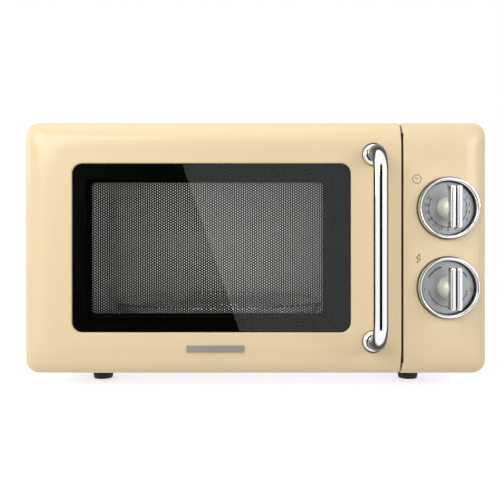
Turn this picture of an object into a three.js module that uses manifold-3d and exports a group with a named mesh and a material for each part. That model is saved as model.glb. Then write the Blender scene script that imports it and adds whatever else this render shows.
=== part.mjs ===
// Countertop microwave oven, 20 litre class, with a side-hinged door, a tubular door handle and two rotary
// controls. Millimetres, +Z up. The front faces -Y and +X is the control side. The origin is the centre of
// the bounding box on the surface that the feet stand on.
import * as THREE from "three";
import { mergeVertices } from "three/addons/utils/BufferGeometryUtils.js";
import Module from "manifold-3d";

const wasm = await Module();
wasm.setup();

// ---- Driving dimensions. Depths are measured back from the flat front face, which is depth 0. ----
const WIDTH = 452;
const HEIGHT = 262;
const DEPTH = 335;
const FOOT_HEIGHT = 16;
const FOOT_RADIUS = 10;
const FOOT_SIDE_SETBACK = 62.5;
const FOOT_FRONT_DEPTH = 73;
const FOOT_REAR_SETBACK = 35;
const CLEAR = 0.3; // gap between pieces that touch
const SHEET = 0.7; // cabinet and cavity sheet steel
const PLATE = 0.9; // base plate, rear panel and front frame

// Front moulding, shared by the door and the control fascia.
const CROWN_WIDTH = 28; // width of the rounded border, seen from the front
const CROWN_DEPTH = 16;
const CORNER_RADIUS = 13;
const SKIN = 3;
const DOOR_THICKNESS = 30;
const DOOR_GAP = 3; // between the closed door and the front frame
const PANEL_WIDTH = 83.5;
const SPLIT_GAP = 2; // between the door and the fascia

// Door window.
const GLASS_MARGIN_LEFT = 49.2; // from the door's edges to the glass
const GLASS_MARGIN_RIGHT = 48.7;
const GLASS_MARGIN_HIGH = 41.75;
const GLASS_THICKNESS = 3.5;
const GLASS_RADIUS = 10;
const GLASS_RECESS = 1.2;
const GLASS_LEDGE = 8;
const SCREEN_MARGIN_X = 20.3; // from the glass's edges to the perforated area
const SCREEN_MARGIN_Z = 16.75;
const SCREEN_OFFSET_X = -5;

// Handle.
const HANDLE_MARGIN = 33; // from the top and the bottom of the door to a leg's axis
const HANDLE_STANDOFF = 38; // from the front face to the bar's centre line
const HANDLE_RADIUS = 6.7;
const HANDLE_BEND = 22;
const HANDLE_SETBACK = 27.2; // from the door's opening edge
const ROSETTE_RADIUS = 11;
const ROSETTE_PROUD = 5;

// Controls.
const KNOB_SETBACK = 40.8; // from the control side to the knobs' axes
const KNOB_SPACING = 76.4;
const BEZEL_RADIUS = 30;
const DIAL_RADIUS = 25.3;
const BEZEL_PROUD = 6;
const KNOB_HUB_RADIUS = 11;
const GRIP_LENGTH = 39.4;
const GRIP_WIDTH = 10.6;
const GRIP_PROUD = 28;
const SHAFT_RADIUS = 3;

// Cabinet and cavity.
const COVER_INSET = 2; // the cabinet is this much smaller than the front moulding, all round
const COVER_RADIUS = 12;
const BAY_OVERHANG = 26.5; // how far the electrical bay reaches behind the door
const CAVITY_MARGIN_LEFT = 24;
const CAVITY_MARGIN_TOP = 16;
const CAVITY_MARGIN_REAR = 10.5;
const CAVITY_FLOOR = 48; // height of the cavity floor's top face
const GLAND_PROUD = 6;

// Hinge.
const PIVOT_INSET = 8; // from the door's left edge
const PIVOT_FORWARD = 11; // ahead of the front frame
const PIN_RADIUS = 3;
const PIN_CLEARANCE = 0.4;
const TONGUE_THICKNESS = 2;
const TONGUE_DROP = 6; // from the top of the door to the tongue's top face
const TONGUE_HALF_WIDTH = 6;

// Turntable.
const TRAY_CLEARANCE = 17.5; // round the tray, at the nearest walls
const TRAY_THICKNESS = 4;
const TRAY_RIM = 10;
const ROLLER_RADIUS = 7;
const ROLLER_WIDTH = 5;
const ROLLER_TRACK = 89.5; // from the turntable's axis to a roller's middle
const ROLLERS = 3;

// ---- Places worked out from the driving dimensions. ----
const LEFT = -WIDTH / 2;
const RIGHT = WIDTH / 2;
const BOTTOM = FOOT_HEIGHT;
const MIDDLE = (BOTTOM + HEIGHT) / 2;
const FRAME_FACE = DOOR_THICKNESS + DOOR_GAP;
const BODY_FRONT = FRAME_FACE + PLATE + CLEAR;
const DOOR_RIGHT = RIGHT - PANEL_WIDTH - SPLIT_GAP;
const PANEL_LEFT = RIGHT - PANEL_WIDTH;
const COVER_SIDE = RIGHT - COVER_INSET;
const COVER_TOP = HEIGHT - COVER_INSET;
const COVER_BOTTOM = BOTTOM + 1;
const REAR_FRONT = DEPTH - PLATE; // front face of the rear panel
const COVER_REAR = REAR_FRONT - CLEAR;
const BASE_TOP = COVER_BOTTOM + PLATE;
const BAY_RIGHT = COVER_SIDE - SHEET; // the electrical bay beside the cavity
const BAY_WIDTH = PANEL_WIDTH + BAY_OVERHANG;
const BAY_LEFT = BAY_RIGHT - BAY_WIDTH;
const CAVITY_LEFT = LEFT + CAVITY_MARGIN_LEFT;
const CAVITY_RIGHT = BAY_LEFT - SHEET;
const CAVITY_WIDTH = CAVITY_RIGHT - CAVITY_LEFT;
const CAVITY_TOP = HEIGHT - CAVITY_MARGIN_TOP;
const CAVITY_HEIGHT = CAVITY_TOP - CAVITY_FLOOR;
const CAVITY_REAR = DEPTH - CAVITY_MARGIN_REAR;
const CAVITY_DEPTH = CAVITY_REAR - BODY_FRONT;
const FOOT_SPREAD = RIGHT - FOOT_SIDE_SETBACK;
const PIVOT_X = LEFT + PIVOT_INSET;
const PIVOT_DEPTH = FRAME_FACE - PIVOT_FORWARD;
const GLASS_WIDTH = DOOR_RIGHT - LEFT - GLASS_MARGIN_LEFT - GLASS_MARGIN_RIGHT;
const GLASS_HEIGHT = HEIGHT - BOTTOM - 2 * GLASS_MARGIN_HIGH;
const GLASS_X = LEFT + GLASS_MARGIN_LEFT + GLASS_WIDTH / 2;
const SCREEN_WIDTH = GLASS_WIDTH - 2 * SCREEN_MARGIN_X;
const SCREEN_HEIGHT = GLASS_HEIGHT - 2 * SCREEN_MARGIN_Z;
const SCREEN_X = GLASS_X + SCREEN_OFFSET_X;
const HANDLE_X = DOOR_RIGHT - HANDLE_SETBACK;
const HANDLE_LOW = BOTTOM + HANDLE_MARGIN;
const HANDLE_HIGH = HEIGHT - HANDLE_MARGIN;
const KNOB_X = RIGHT - KNOB_SETBACK;
const TIMER_Z = MIDDLE + KNOB_SPACING / 2;
const POWER_Z = MIDDLE - KNOB_SPACING / 2;
const TABLE_X = (CAVITY_LEFT + CAVITY_RIGHT) / 2;
const TABLE_DEPTH = BODY_FRONT + CAVITY_DEPTH / 2;
const TRAY_BASE = CAVITY_FLOOR + 2 * ROLLER_RADIUS + 2 * CLEAR;
const TRAY_RADIUS = Math.min(CAVITY_WIDTH, CAVITY_DEPTH) / 2 - TRAY_CLEARANCE;

// ---- Small tools. A solid is a manifold-3d object made from a three.js geometry. ----
function solidOf(geometry) {
  const bare = geometry.index ? geometry.toNonIndexed() : geometry.clone();
  for (const name of Object.keys(bare.attributes)) {
    if (name !== "position") bare.deleteAttribute(name);
  }
  const merged = mergeVertices(bare, 1e-4);
  return new wasm.Manifold(
    new wasm.Mesh({
      numProp: 3,
      vertProperties: new Float32Array(merged.attributes.position.array),
      triVerts: new Uint32Array(merged.index.array),
    }),
  );
}

function geometryOf(solid) {
  const mesh = solid.getMesh();
  const geometry = new THREE.BufferGeometry();
  geometry.setAttribute("position", new THREE.BufferAttribute(mesh.vertProperties, 3));
  geometry.setIndex(new THREE.BufferAttribute(mesh.triVerts, 1));
  const flat = geometry.toNonIndexed();
  flat.computeVertexNormals();
  return flat;
}

function block(x, depth, z) {
  const box = new THREE.BoxGeometry(x[1] - x[0], depth[1] - depth[0], z[1] - z[0]);
  box.translate((x[0] + x[1]) / 2, (depth[0] + depth[1]) / 2, (z[0] + z[1]) / 2);
  return solidOf(box);
}

// A round bar along x, y (depth) or z. The two given coordinates of its axis are in x, y, z order.
function rod(axis, radius, span, across, sides = 16) {
  const length = span[1] - span[0];
  const middle = (span[0] + span[1]) / 2;
  const bar = new THREE.CylinderGeometry(radius, radius, length, sides);
  if (axis === "x") bar.rotateZ(Math.PI / 2).translate(middle, across[0], across[1]);
  if (axis === "y") bar.translate(across[0], middle, across[1]);
  if (axis === "z") bar.rotateX(Math.PI / 2).translate(across[0], across[1], middle);
  return solidOf(bar);
}

// An outline drawn in x and z, given its thickness in depth.
function plate(shape, depth, arcSteps = 3) {
  const geometry = new THREE.ExtrudeGeometry(shape, {
    depth: depth[1] - depth[0],
    bevelEnabled: false,
    curveSegments: arcSteps,
  });
  geometry.rotateX(Math.PI / 2).translate(0, depth[1], 0);
  return solidOf(geometry);
}

function roundedOutline(x, z, width, height, radius) {
  const [l, r] = [x - width / 2, x + width / 2];
  const [b, t] = [z - height / 2, z + height / 2];
  const shape = new THREE.Shape();
  shape.absarc(r - radius, b + radius, radius, -Math.PI / 2, 0);
  shape.absarc(r - radius, t - radius, radius, 0, Math.PI / 2);
  shape.absarc(l + radius, t - radius, radius, Math.PI / 2, Math.PI);
  shape.absarc(l + radius, b + radius, radius, Math.PI, 1.5 * Math.PI);
  shape.closePath();
  return shape;
}

// A turned piece about an axis along z, or along the depth with its profile's height running to the
// front or to the rear.
function turned(profile, segments, turn, at) {
  const points = profile.map(([r, h]) => new THREE.Vector2(r, h));
  const lathe = new THREE.LatheGeometry(points, segments);
  if (turn === "z") lathe.rotateX(Math.PI / 2);
  if (turn === "front") lathe.rotateX(Math.PI);
  return solidOf(lathe.translate(at[0], at[1], at[2]));
}

const oven = new THREE.Group();
oven.position.y = -(DEPTH + GLAND_PROUD - HANDLE_STANDOFF - HANDLE_RADIUS) / 2;

const finishes = {
  cream_gloss: { color: 0xf0d9ad, roughness: 0.3, metalness: 0 },
  cream_steel: { color: 0xeed7aa, roughness: 0.4, metalness: 0.1 },
  chrome: { color: 0xe2e4e6, roughness: 0.08, metalness: 1 },
  dial_silver: { color: 0xb2b4b8, roughness: 0.4, metalness: 0.8 },
  window_glass: { color: 0x1a1b1d, roughness: 0.05, metalness: 0 },
  clear_glass: { color: 0xdfe8e6, roughness: 0.05, metalness: 0 },
  black_steel: { color: 0x0e0e10, roughness: 0.5, metalness: 0.3 },
  dark_plastic: { color: 0x232426, roughness: 0.55, metalness: 0 },
  cavity_enamel: { color: 0xd9dad6, roughness: 0.45, metalness: 0.05 },
  zinc_steel: { color: 0x9fa2a4, roughness: 0.45, metalness: 0.9 },
  white_plastic: { color: 0xe8e6df, roughness: 0.5, metalness: 0 },
  copper_coil: { color: 0xa5622f, roughness: 0.45, metalness: 0.7 },
  mica: { color: 0xb5a488, roughness: 0.7, metalness: 0 },
  spring_steel: { color: 0xb8babd, roughness: 0.3, metalness: 0.9 },
  rubber: { color: 0x141414, roughness: 0.8, metalness: 0 },
};

function add(name, finish, solid) {
  const look = new THREE.MeshStandardMaterial({ ...finishes[finish], name: finish });
  const mesh = new THREE.Mesh(geometryOf(solid), look);
  mesh.name = name;
  oven.add(mesh);
}

// ---- Front moulding ----
// The whole front is one crowned slab, offset inwards by inset. It is the common volume of a side profile,
// a plan profile and the front outline. The door's rear left corner is an arc about the hinge axis, so
// that the corner clears the frame as the door swings.
function sideProfile(inset, rear) {
  const shape = new THREE.Shape();
  const [low, high] = [BOTTOM + CROWN_WIDTH, HEIGHT - CROWN_WIDTH];
  const [ry, rz] = [CROWN_DEPTH - inset, CROWN_WIDTH - inset];
  shape.moveTo(rear, BOTTOM + inset);
  shape.lineTo(rear, HEIGHT - inset);
  shape.absellipse(CROWN_DEPTH, high, ry, rz, Math.PI / 2, Math.PI);
  shape.absellipse(CROWN_DEPTH, low, ry, rz, Math.PI, 1.5 * Math.PI);
  shape.closePath();
  const geometry = new THREE.ExtrudeGeometry(shape, { depth: WIDTH, bevelEnabled: false, curveSegments: 3 });
  // Shape x is the depth, shape y is the height and the extrusion runs along x.
  const turn = new THREE.Matrix4().makeBasis(
    new THREE.Vector3(0, 1, 0),
    new THREE.Vector3(0, 0, 1),
    new THREE.Vector3(1, 0, 0),
  );
  geometry.applyMatrix4(turn).translate(-WIDTH / 2, 0, 0);
  return solidOf(geometry);
}

function planProfile(inset, rear, hinged) {
  const shape = new THREE.Shape();
  const [rx, ry] = [CROWN_WIDTH - inset, CROWN_DEPTH - inset];
  shape.moveTo(RIGHT - inset, rear);
  if (hinged) {
    const lip = PIVOT_X + (inset > 0 ? 5 : 0);
    shape.lineTo(lip, rear);
    if (inset > 0) shape.lineTo(lip, DOOR_THICKNESS - inset);
    shape.absarc(PIVOT_X, PIVOT_DEPTH, PIVOT_INSET - inset, Math.PI / 2, Math.PI);
  } else {
    shape.lineTo(LEFT + inset, rear);
  }
  shape.absellipse(LEFT + CROWN_WIDTH, CROWN_DEPTH, rx, ry, Math.PI, 1.5 * Math.PI);
  shape.absellipse(RIGHT - CROWN_WIDTH, CROWN_DEPTH, rx, ry, 1.5 * Math.PI, 2 * Math.PI);
  shape.closePath();
  const geometry = new THREE.ExtrudeGeometry(shape, { depth: HEIGHT, bevelEnabled: false, curveSegments: 3 });
  return solidOf(geometry);
}

function frontSlab(inset, rear, hinged) {
  const outline = roundedOutline(
    0,
    MIDDLE,
    WIDTH - 2 * inset,
    HEIGHT - BOTTOM - 2 * inset,
    CORNER_RADIUS - inset,
  );
  return sideProfile(inset, rear)
    .intersect(planProfile(inset, rear, hinged))
    .intersect(plate(outline, [-1, rear + 1]));
}

const everyDepth = [-10, DEPTH];
const everyHeight = [0, HEIGHT + 10];

// ---- Door ----
const TONGUE_HIGH = [HEIGHT - TONGUE_DROP - TONGUE_THICKNESS, HEIGHT - TONGUE_DROP];
const HOOK_SPREAD = (HEIGHT - BOTTOM) / 2 - 61; // from the middle height to each latch hook
const HOOK_X = [DOOR_RIGHT - 13.5, DOOR_RIGHT - 7.5];
const LATCH_TRAVEL = 5;
const HOOK_HALF_HEIGHT = 3.5;
const HOOK_BARB = 5;

function mirrorHeight(span) {
  return [BOTTOM + HEIGHT - span[1], BOTTOM + HEIGHT - span[0]];
}

// The slot that a hook passes through, tall enough for the latch to lift.
function hookSlot(z, depth) {
  return block(
    [HOOK_X[0] - 2, HOOK_X[1] + 4],
    depth,
    [z - HOOK_HALF_HEIGHT - HOOK_BARB - 1.5, z + HOOK_HALF_HEIGHT + LATCH_TRAVEL + 1.5],
  );
}

function doorFrame() {
  const slab = frontSlab(0, DOOR_THICKNESS, true);
  const outer = slab.intersect(block([LEFT - 1, DOOR_RIGHT], everyDepth, everyHeight));
  const pocket = frontSlab(SKIN, DOOR_THICKNESS + 1, true).intersect(
    block([LEFT, DOOR_RIGHT - SKIN], [SKIN, DOOR_THICKNESS + 2], everyHeight),
  );
  let frame = outer.subtract(pocket);
  // A ledge behind the glass, and the opening that the glass fills.
  const around = [GLASS_WIDTH + 2 * CLEAR, GLASS_HEIGHT + 2 * CLEAR];
  const seat = GLASS_RECESS + GLASS_THICKNESS + CLEAR;
  const rim = roundedOutline(GLASS_X, MIDDLE, around[0] + 8, around[1] + 8, GLASS_RADIUS + 4);
  const hole = roundedOutline(GLASS_X, MIDDLE, around[0], around[1], GLASS_RADIUS);
  const inner = roundedOutline(
    GLASS_X,
    MIDDLE,
    around[0] - 2 * GLASS_LEDGE,
    around[1] - 2 * GLASS_LEDGE,
    GLASS_RADIUS / 2,
  );
  frame = frame.add(plate(rim, [SKIN - 0.5, seat + SKIN]));
  frame = frame.subtract(plate(hole, [-1, seat])).subtract(plate(inner, [-1, DOOR_THICKNESS]));
  // Bosses for the hinge pins, and slots for the hinge tongues to swing in.
  const bossHigh = [TONGUE_HIGH[0] - 16, TONGUE_HIGH[0] - 0.8];
  const reach = PIVOT_FORWARD + 2;
  for (const [boss, tongue] of [
    [bossHigh, TONGUE_HIGH],
    [mirrorHeight(bossHigh), mirrorHeight(TONGUE_HIGH)],
  ]) {
    const around = [PIVOT_X - PIVOT_INSET, PIVOT_X + 7];
    const lump = block(around, [PIVOT_DEPTH - 7, DOOR_THICKNESS - SKIN + 0.5], boss);
    frame = frame.add(lump.intersect(outer));
    const bore = [boss[0] - 1, boss[1] + 1];
    frame = frame.subtract(rod("z", PIN_RADIUS + PIN_CLEARANCE, bore, [PIVOT_X, PIVOT_DEPTH]));
    const sweep = rod("z", reach, [tongue[0] - 0.6, tongue[1] + 0.6], [PIVOT_X, PIVOT_DEPTH], 32);
    const swept = block([LEFT - 1, PIVOT_X + reach], [PIVOT_DEPTH - 9, DEPTH], everyHeight);
    frame = frame.subtract(sweep.intersect(swept));
  }
  // Pads that guide the latch bar, and the stop above its spring.
  for (const z of [MIDDLE - 35, MIDDLE + 35]) {
    frame = frame.add(block([HOOK_X[0] - 1, HOOK_X[1] + 3], [SKIN - 1, LATCH_FRONT - CLEAR], [z - 5, z + 5]));
  }
  const stop = [SPRING_TOP + CLEAR, SPRING_TOP + CLEAR + 5];
  frame = frame.add(block([HOOK_X[0], HOOK_X[1] + 2], [SKIN - 1, LATCH_FRONT + LATCH_DEPTH], stop));
  // Bosses that the steel pan is screwed to.
  for (const x of [PAN.x[0] + 10, PAN.x[1] - 30]) {
    for (const z of [PAN.z[0] + 9, PAN.z[1] - 9]) {
      frame = frame.add(rod("y", 4, [SKIN - 1, PAN.front - CLEAR], [x, z], 12));
    }
  }
  for (const z of [HANDLE_LOW, HANDLE_HIGH]) {
    frame = frame.subtract(rod("y", 2.4, [-1, SKIN + 1], [HANDLE_X, z], 12));
  }
  return frame;
}

const LATCH_FRONT = DOOR_THICKNESS - 17;
const LATCH_DEPTH = 6;
const LATCH_TOP = MIDDLE + HOOK_SPREAD + 14;
const SPRING_LENGTH = 24;
const SPRING_TOP = LATCH_TOP + CLEAR + SPRING_LENGTH;
const HOOK_TIP = FRAME_FACE + 23;

function latchBar() {
  const depth = [LATCH_FRONT, LATCH_FRONT + LATCH_DEPTH];
  let bar = block([HOOK_X[0], HOOK_X[1] + 2], depth, [MIDDLE - HOOK_SPREAD - 17, LATCH_TOP]);
  for (const z of [MIDDLE - HOOK_SPREAD, MIDDLE + HOOK_SPREAD]) {
    const finger = [z - HOOK_HALF_HEIGHT, z + HOOK_HALF_HEIGHT];
    bar = bar.add(block(HOOK_X, [depth[0] + 1, HOOK_TIP], finger));
    bar = bar.add(block(HOOK_X, [HOOK_TIP - 6, HOOK_TIP], [z - HOOK_HALF_HEIGHT - HOOK_BARB, z]));
  }
  return bar;
}

class Helix extends THREE.Curve {
  constructor(radius, height, turns) {
    super();
    Object.assign(this, { radius, height, turns });
  }
  getPoint(t, target = new THREE.Vector3()) {
    const angle = 2 * Math.PI * this.turns * t;
    return target.set(this.radius * Math.cos(angle), this.radius * Math.sin(angle), this.height * t);
  }
}

function latchSpring() {
  const wire = 0.6;
  const section = new THREE.Shape().absarc(0, 0, wire, 0, 2 * Math.PI);
  const geometry = new THREE.ExtrudeGeometry(section, {
    extrudePath: new Helix(2.2, SPRING_LENGTH - 2 * wire - 0.4, 6),
    steps: 60,
    curveSegments: 3,
  });
  const x = (HOOK_X[0] + HOOK_X[1]) / 2 + 1;
  geometry.translate(x, LATCH_FRONT + LATCH_DEPTH / 2, LATCH_TOP + CLEAR + wire + 0.2);
  return solidOf(geometry);
}

function doorGlass() {
  const outline = roundedOutline(GLASS_X, MIDDLE, GLASS_WIDTH, GLASS_HEIGHT, GLASS_RADIUS - CLEAR);
  return plate(outline, [GLASS_RECESS, GLASS_RECESS + GLASS_THICKNESS]);
}

// A pressed steel pan with its rim turned back to make the choke channel.
const PAN = {
  x: [PIVOT_X + 12, DOOR_RIGHT - 16.5],
  z: [BOTTOM + 14, HEIGHT - 14],
  front: DOOR_THICKNESS - 10,
  rear: DOOR_THICKNESS - 2,
};
const INNER_WINDOW_DEPTH = [PAN.rear - 4, PAN.rear - 2];
const CHOKE_DEPTH = [PAN.rear + CLEAR, DOOR_THICKNESS];

function doorPan() {
  const outer = block(PAN.x, [PAN.front, PAN.rear], PAN.z);
  const inner = block(
    [PAN.x[0] + SHEET, PAN.x[1] - SHEET],
    [PAN.front + SHEET, PAN.rear + 1],
    [PAN.z[0] + SHEET, PAN.z[1] - SHEET],
  );
  const opening = roundedOutline(SCREEN_X, MIDDLE, SCREEN_WIDTH, SCREEN_HEIGHT, 3);
  return outer.subtract(inner).subtract(plate(opening, [PAN.front - 1, PAN.rear]));
}

function windowScreen() {
  const outline = roundedOutline(SCREEN_X, MIDDLE, SCREEN_WIDTH + 12, SCREEN_HEIGHT + 12, 3);
  const front = PAN.front + SHEET + CLEAR;
  return plate(outline, [front, front + 0.8]);
}

function innerWindow() {
  const outline = roundedOutline(SCREEN_X, MIDDLE, SCREEN_WIDTH + 34, SCREEN_HEIGHT + 34, 6);
  return plate(outline, INNER_WINDOW_DEPTH);
}

function chokeCover() {
  const x = [PIVOT_X + 5.5, DOOR_RIGHT - SKIN - 0.5];
  const z = [BOTTOM + SKIN + 0.5, HEIGHT - SKIN - 0.5];
  let ring = block(x, CHOKE_DEPTH, z);
  // A raised lip inside the pan holds the inner window.
  const lip = roundedOutline(SCREEN_X, MIDDLE, SCREEN_WIDTH + 42, SCREEN_HEIGHT + 42, 8);
  ring = ring.add(plate(lip, [INNER_WINDOW_DEPTH[1] + CLEAR, CHOKE_DEPTH[1]]));
  const opening = roundedOutline(SCREEN_X, MIDDLE, SCREEN_WIDTH + 22, SCREEN_HEIGHT + 22, 5);
  ring = ring.subtract(plate(opening, [PAN.front, DOOR_THICKNESS + 1]));
  const notch = [TONGUE_HIGH[0] - 1.2, HEIGHT];
  for (const corner of [notch, mirrorHeight(notch)]) {
    ring = ring.subtract(block([LEFT, PIVOT_X + PIVOT_FORWARD + 3], everyDepth, corner));
  }
  for (const z of [MIDDLE - HOOK_SPREAD, MIDDLE + HOOK_SPREAD]) {
    ring = ring.subtract(hookSlot(z, [PAN.front, DOOR_THICKNESS + 1]));
  }
  return ring;
}

class HandlePath extends THREE.CurvePath {
  constructor() {
    super();
    const front = -HANDLE_STANDOFF;
    const bend = HANDLE_BEND;
    const point = (depth, z) => new THREE.Vector3(HANDLE_X, depth, z);
    const corner = (z, side) => {
      const centre = point(front + bend, z - side * bend);
      const arc = new THREE.Curve();
      arc.getPoint = (t, target = new THREE.Vector3()) => {
        const angle = (side > 0 ? t : 1 - t) * (Math.PI / 2);
        return target.set(
          centre.x,
          centre.y - bend * Math.sin(angle),
          centre.z + side * bend * Math.cos(angle),
        );
      };
      return arc;
    };
    this.add(new THREE.LineCurve3(point(-CLEAR, HANDLE_HIGH), point(front + bend, HANDLE_HIGH)));
    this.add(corner(HANDLE_HIGH, 1));
    this.add(new THREE.LineCurve3(point(front, HANDLE_HIGH - bend), point(front, HANDLE_LOW + bend)));
    this.add(corner(HANDLE_LOW, -1));
    this.add(new THREE.LineCurve3(point(front + bend, HANDLE_LOW), point(-CLEAR, HANDLE_LOW)));
  }
}

function handleBar() {
  const section = new THREE.Shape().absarc(0, 0, HANDLE_RADIUS, 0, 2 * Math.PI);
  const geometry = new THREE.ExtrudeGeometry(section, {
    extrudePath: new HandlePath(),
    steps: 48,
    curveSegments: 6,
  });
  let bar = solidOf(geometry);
  for (const z of [HANDLE_LOW, HANDLE_HIGH]) {
    bar = bar.subtract(rod("y", 2, [-12, 1], [HANDLE_X, z], 12));
  }
  return bar;
}

// A turned collar that the handle's leg passes through.
function rosette(z) {
  const hole = HANDLE_RADIUS + CLEAR;
  return turned(
    [
      [hole, -0.6],
      [ROSETTE_RADIUS, -0.6],
      [ROSETTE_RADIUS, ROSETTE_PROUD - 2.5],
      [ROSETTE_RADIUS - 1.4, ROSETTE_PROUD - 0.6],
      [hole + 1, ROSETTE_PROUD],
      [hole, ROSETTE_PROUD - 0.4],
      [hole, -0.6],
    ],
    32,
    "front",
    [HANDLE_X, -CLEAR - 0.6, z],
  );
}

// A blank trim plate under the window.
const BADGE = { x: [GLASS_X - 24, GLASS_X + 32], z: [BOTTOM + 22.5, BOTTOM + 29.5], proud: 1.2 };

function badge() {
  const [x, z] = [(BADGE.x[0] + BADGE.x[1]) / 2, (BADGE.z[0] + BADGE.z[1]) / 2];
  const outline = roundedOutline(x, z, BADGE.x[1] - BADGE.x[0], BADGE.z[1] - BADGE.z[0], 3);
  return plate(outline, [-CLEAR - BADGE.proud, -CLEAR]);
}

// ---- Control side ----
const BEZEL_EMBED = 4;
const FASCIA_REAR = FRAME_FACE - CLEAR;

function controlFascia() {
  const keep = block([PANEL_LEFT, RIGHT + 1], everyDepth, everyHeight);
  const pocketKeep = block([PANEL_LEFT + SKIN, RIGHT], [SKIN, FASCIA_REAR + 2], everyHeight);
  let shell = frontSlab(0, FASCIA_REAR, false).intersect(keep);
  shell = shell.subtract(frontSlab(SKIN, FASCIA_REAR + 1, false).intersect(pocketKeep));
  for (const z of [TIMER_Z, POWER_Z]) {
    // A round well that the bezel and the dial sit in.
    shell = shell.add(rod("y", BEZEL_RADIUS + 1.5, [2, BEZEL_EMBED + SKIN], [KNOB_X, z], 48));
    shell = shell.subtract(rod("y", BEZEL_RADIUS + CLEAR, [-1, BEZEL_EMBED], [KNOB_X, z], 48));
    shell = shell.subtract(rod("y", SHAFT_RADIUS + 1.5, [-1, BEZEL_EMBED + SKIN + 1], [KNOB_X, z], 16));
  }
  return shell;
}

function bezel(z) {
  const back = -BEZEL_EMBED + CLEAR;
  return turned(
    [
      [DIAL_RADIUS + 0.3, back],
      [BEZEL_RADIUS, back],
      [BEZEL_RADIUS, BEZEL_PROUD - 3],
      [BEZEL_RADIUS - 1.2, BEZEL_PROUD - 0.8],
      [BEZEL_RADIUS - 2.8, BEZEL_PROUD],
      [DIAL_RADIUS + 0.9, BEZEL_PROUD - 1],
      [DIAL_RADIUS + 0.3, BEZEL_PROUD - 2.6],
      [DIAL_RADIUS + 0.3, back],
    ],
    48,
    "front",
    [KNOB_X, 0, z],
  );
}

function dial(z) {
  const back = BEZEL_EMBED - CLEAR;
  const disc = rod("y", DIAL_RADIUS, [back - 3.2, back], [KNOB_X, z], 48);
  return disc.subtract(rod("y", SHAFT_RADIUS + 1.2, [-5, back + 1], [KNOB_X, z], 16));
}

// A domed hub with a bar grip across it and a blind hole for the control shaft.
function knob(z) {
  const base = -0.3;
  const hub = turned(
    [
      [0, -base],
      [KNOB_HUB_RADIUS + 1, -base],
      [KNOB_HUB_RADIUS, 4],
      [KNOB_HUB_RADIUS - 2.5, 7],
      [0, 8.5],
    ],
    32,
    "front",
    [KNOB_X, 0, z],
  );
  const outline = new THREE.Shape();
  const half = GRIP_LENGTH / 2;
  const cut = 3;
  outline.moveTo(half, -0.8);
  outline.lineTo(half, -GRIP_PROUD + cut);
  outline.lineTo(half - cut, -GRIP_PROUD);
  outline.lineTo(cut - half, -GRIP_PROUD);
  outline.lineTo(-half, -GRIP_PROUD + cut);
  outline.lineTo(-half, -0.8);
  outline.closePath();
  const grip = new THREE.ExtrudeGeometry(outline, { depth: GRIP_WIDTH, bevelEnabled: false });
  // Shape x becomes the height and shape y stays the depth.
  grip.translate(0, 0, -GRIP_WIDTH / 2).rotateY(-Math.PI / 2).translate(KNOB_X, 0, z);
  const hole = rod("y", SHAFT_RADIUS + 0.3, [-SHAFT_REACH - 0.5, 1], [KNOB_X, z]);
  return hub.add(solidOf(grip)).subtract(hole);
}

const SHAFT_REACH = 15;
const UNIT_FRONT = BEZEL_EMBED + SKIN + CLEAR;

function shaft(z) {
  return rod("y", SHAFT_RADIUS, [-SHAFT_REACH, UNIT_FRONT + 6], [KNOB_X, z], 12);
}

function controlUnit(z, width, height, depth) {
  const x = [KNOB_X - width / 2, KNOB_X + width / 2];
  const body = block(x, [UNIT_FRONT, UNIT_FRONT + depth], [z - height / 2, z + height / 2]);
  const neck = rod("y", SHAFT_RADIUS + CLEAR, [UNIT_FRONT - 1, UNIT_FRONT + 7], [KNOB_X, z], 16);
  return body.subtract(neck);
}

// ---- Cabinet ----
const SLOT_COUNT = 12;
const SLOT_PITCH = 8;

function frontFrame() {
  const outline = roundedOutline(
    0,
    (COVER_TOP + COVER_BOTTOM) / 2,
    2 * COVER_SIDE,
    COVER_TOP - COVER_BOTTOM,
    COVER_RADIUS,
  );
  const through = [FRAME_FACE - 1, BODY_FRONT + 1];
  let sheet = plate(outline, [FRAME_FACE, FRAME_FACE + PLATE]);
  const mouth = roundedOutline(TABLE_X, CAVITY_FLOOR + CAVITY_HEIGHT / 2, CAVITY_WIDTH, CAVITY_HEIGHT, 6);
  sheet = sheet.subtract(plate(mouth, through));
  for (const z of [MIDDLE - HOOK_SPREAD, MIDDLE + HOOK_SPREAD]) {
    sheet = sheet.subtract(hookSlot(z, through));
  }
  const reach = BEZEL_RADIUS + 1;
  return sheet.subtract(block([KNOB_X - reach, KNOB_X + reach], through, [POWER_Z - 28, TIMER_Z + 32]));
}

// Folded from one sheet: two sides and the top, with air slots low on the control side.
function outerCover() {
  const height = COVER_TOP - COVER_BOTTOM;
  const depth = [BODY_FRONT, COVER_REAR];
  const shell = (inset) => {
    const radius = COVER_RADIUS - inset;
    const outline = roundedOutline(0, COVER_TOP - height, 2 * (COVER_SIDE - inset), 2 * (height - inset), radius);
    return plate(outline, inset ? [depth[0] - 1, depth[1] + 1] : depth);
  };
  let cover = shell(0).subtract(shell(SHEET));
  cover = cover.intersect(block([LEFT, RIGHT], everyDepth, [COVER_BOTTOM + CLEAR, HEIGHT]));
  for (let i = 0; i < SLOT_COUNT; i += 1) {
    const start = COVER_REAR - 40 - SLOT_PITCH * i;
    const slot = [start - 3, start];
    cover = cover.subtract(block([BAY_RIGHT - 1, RIGHT], slot, [MIDDLE + 50, MIDDLE + 75]));
    cover = cover.subtract(block([LEFT, -BAY_RIGHT + 1], slot, [MIDDLE + 70, MIDDLE + 90]));
  }
  return cover;
}

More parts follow.
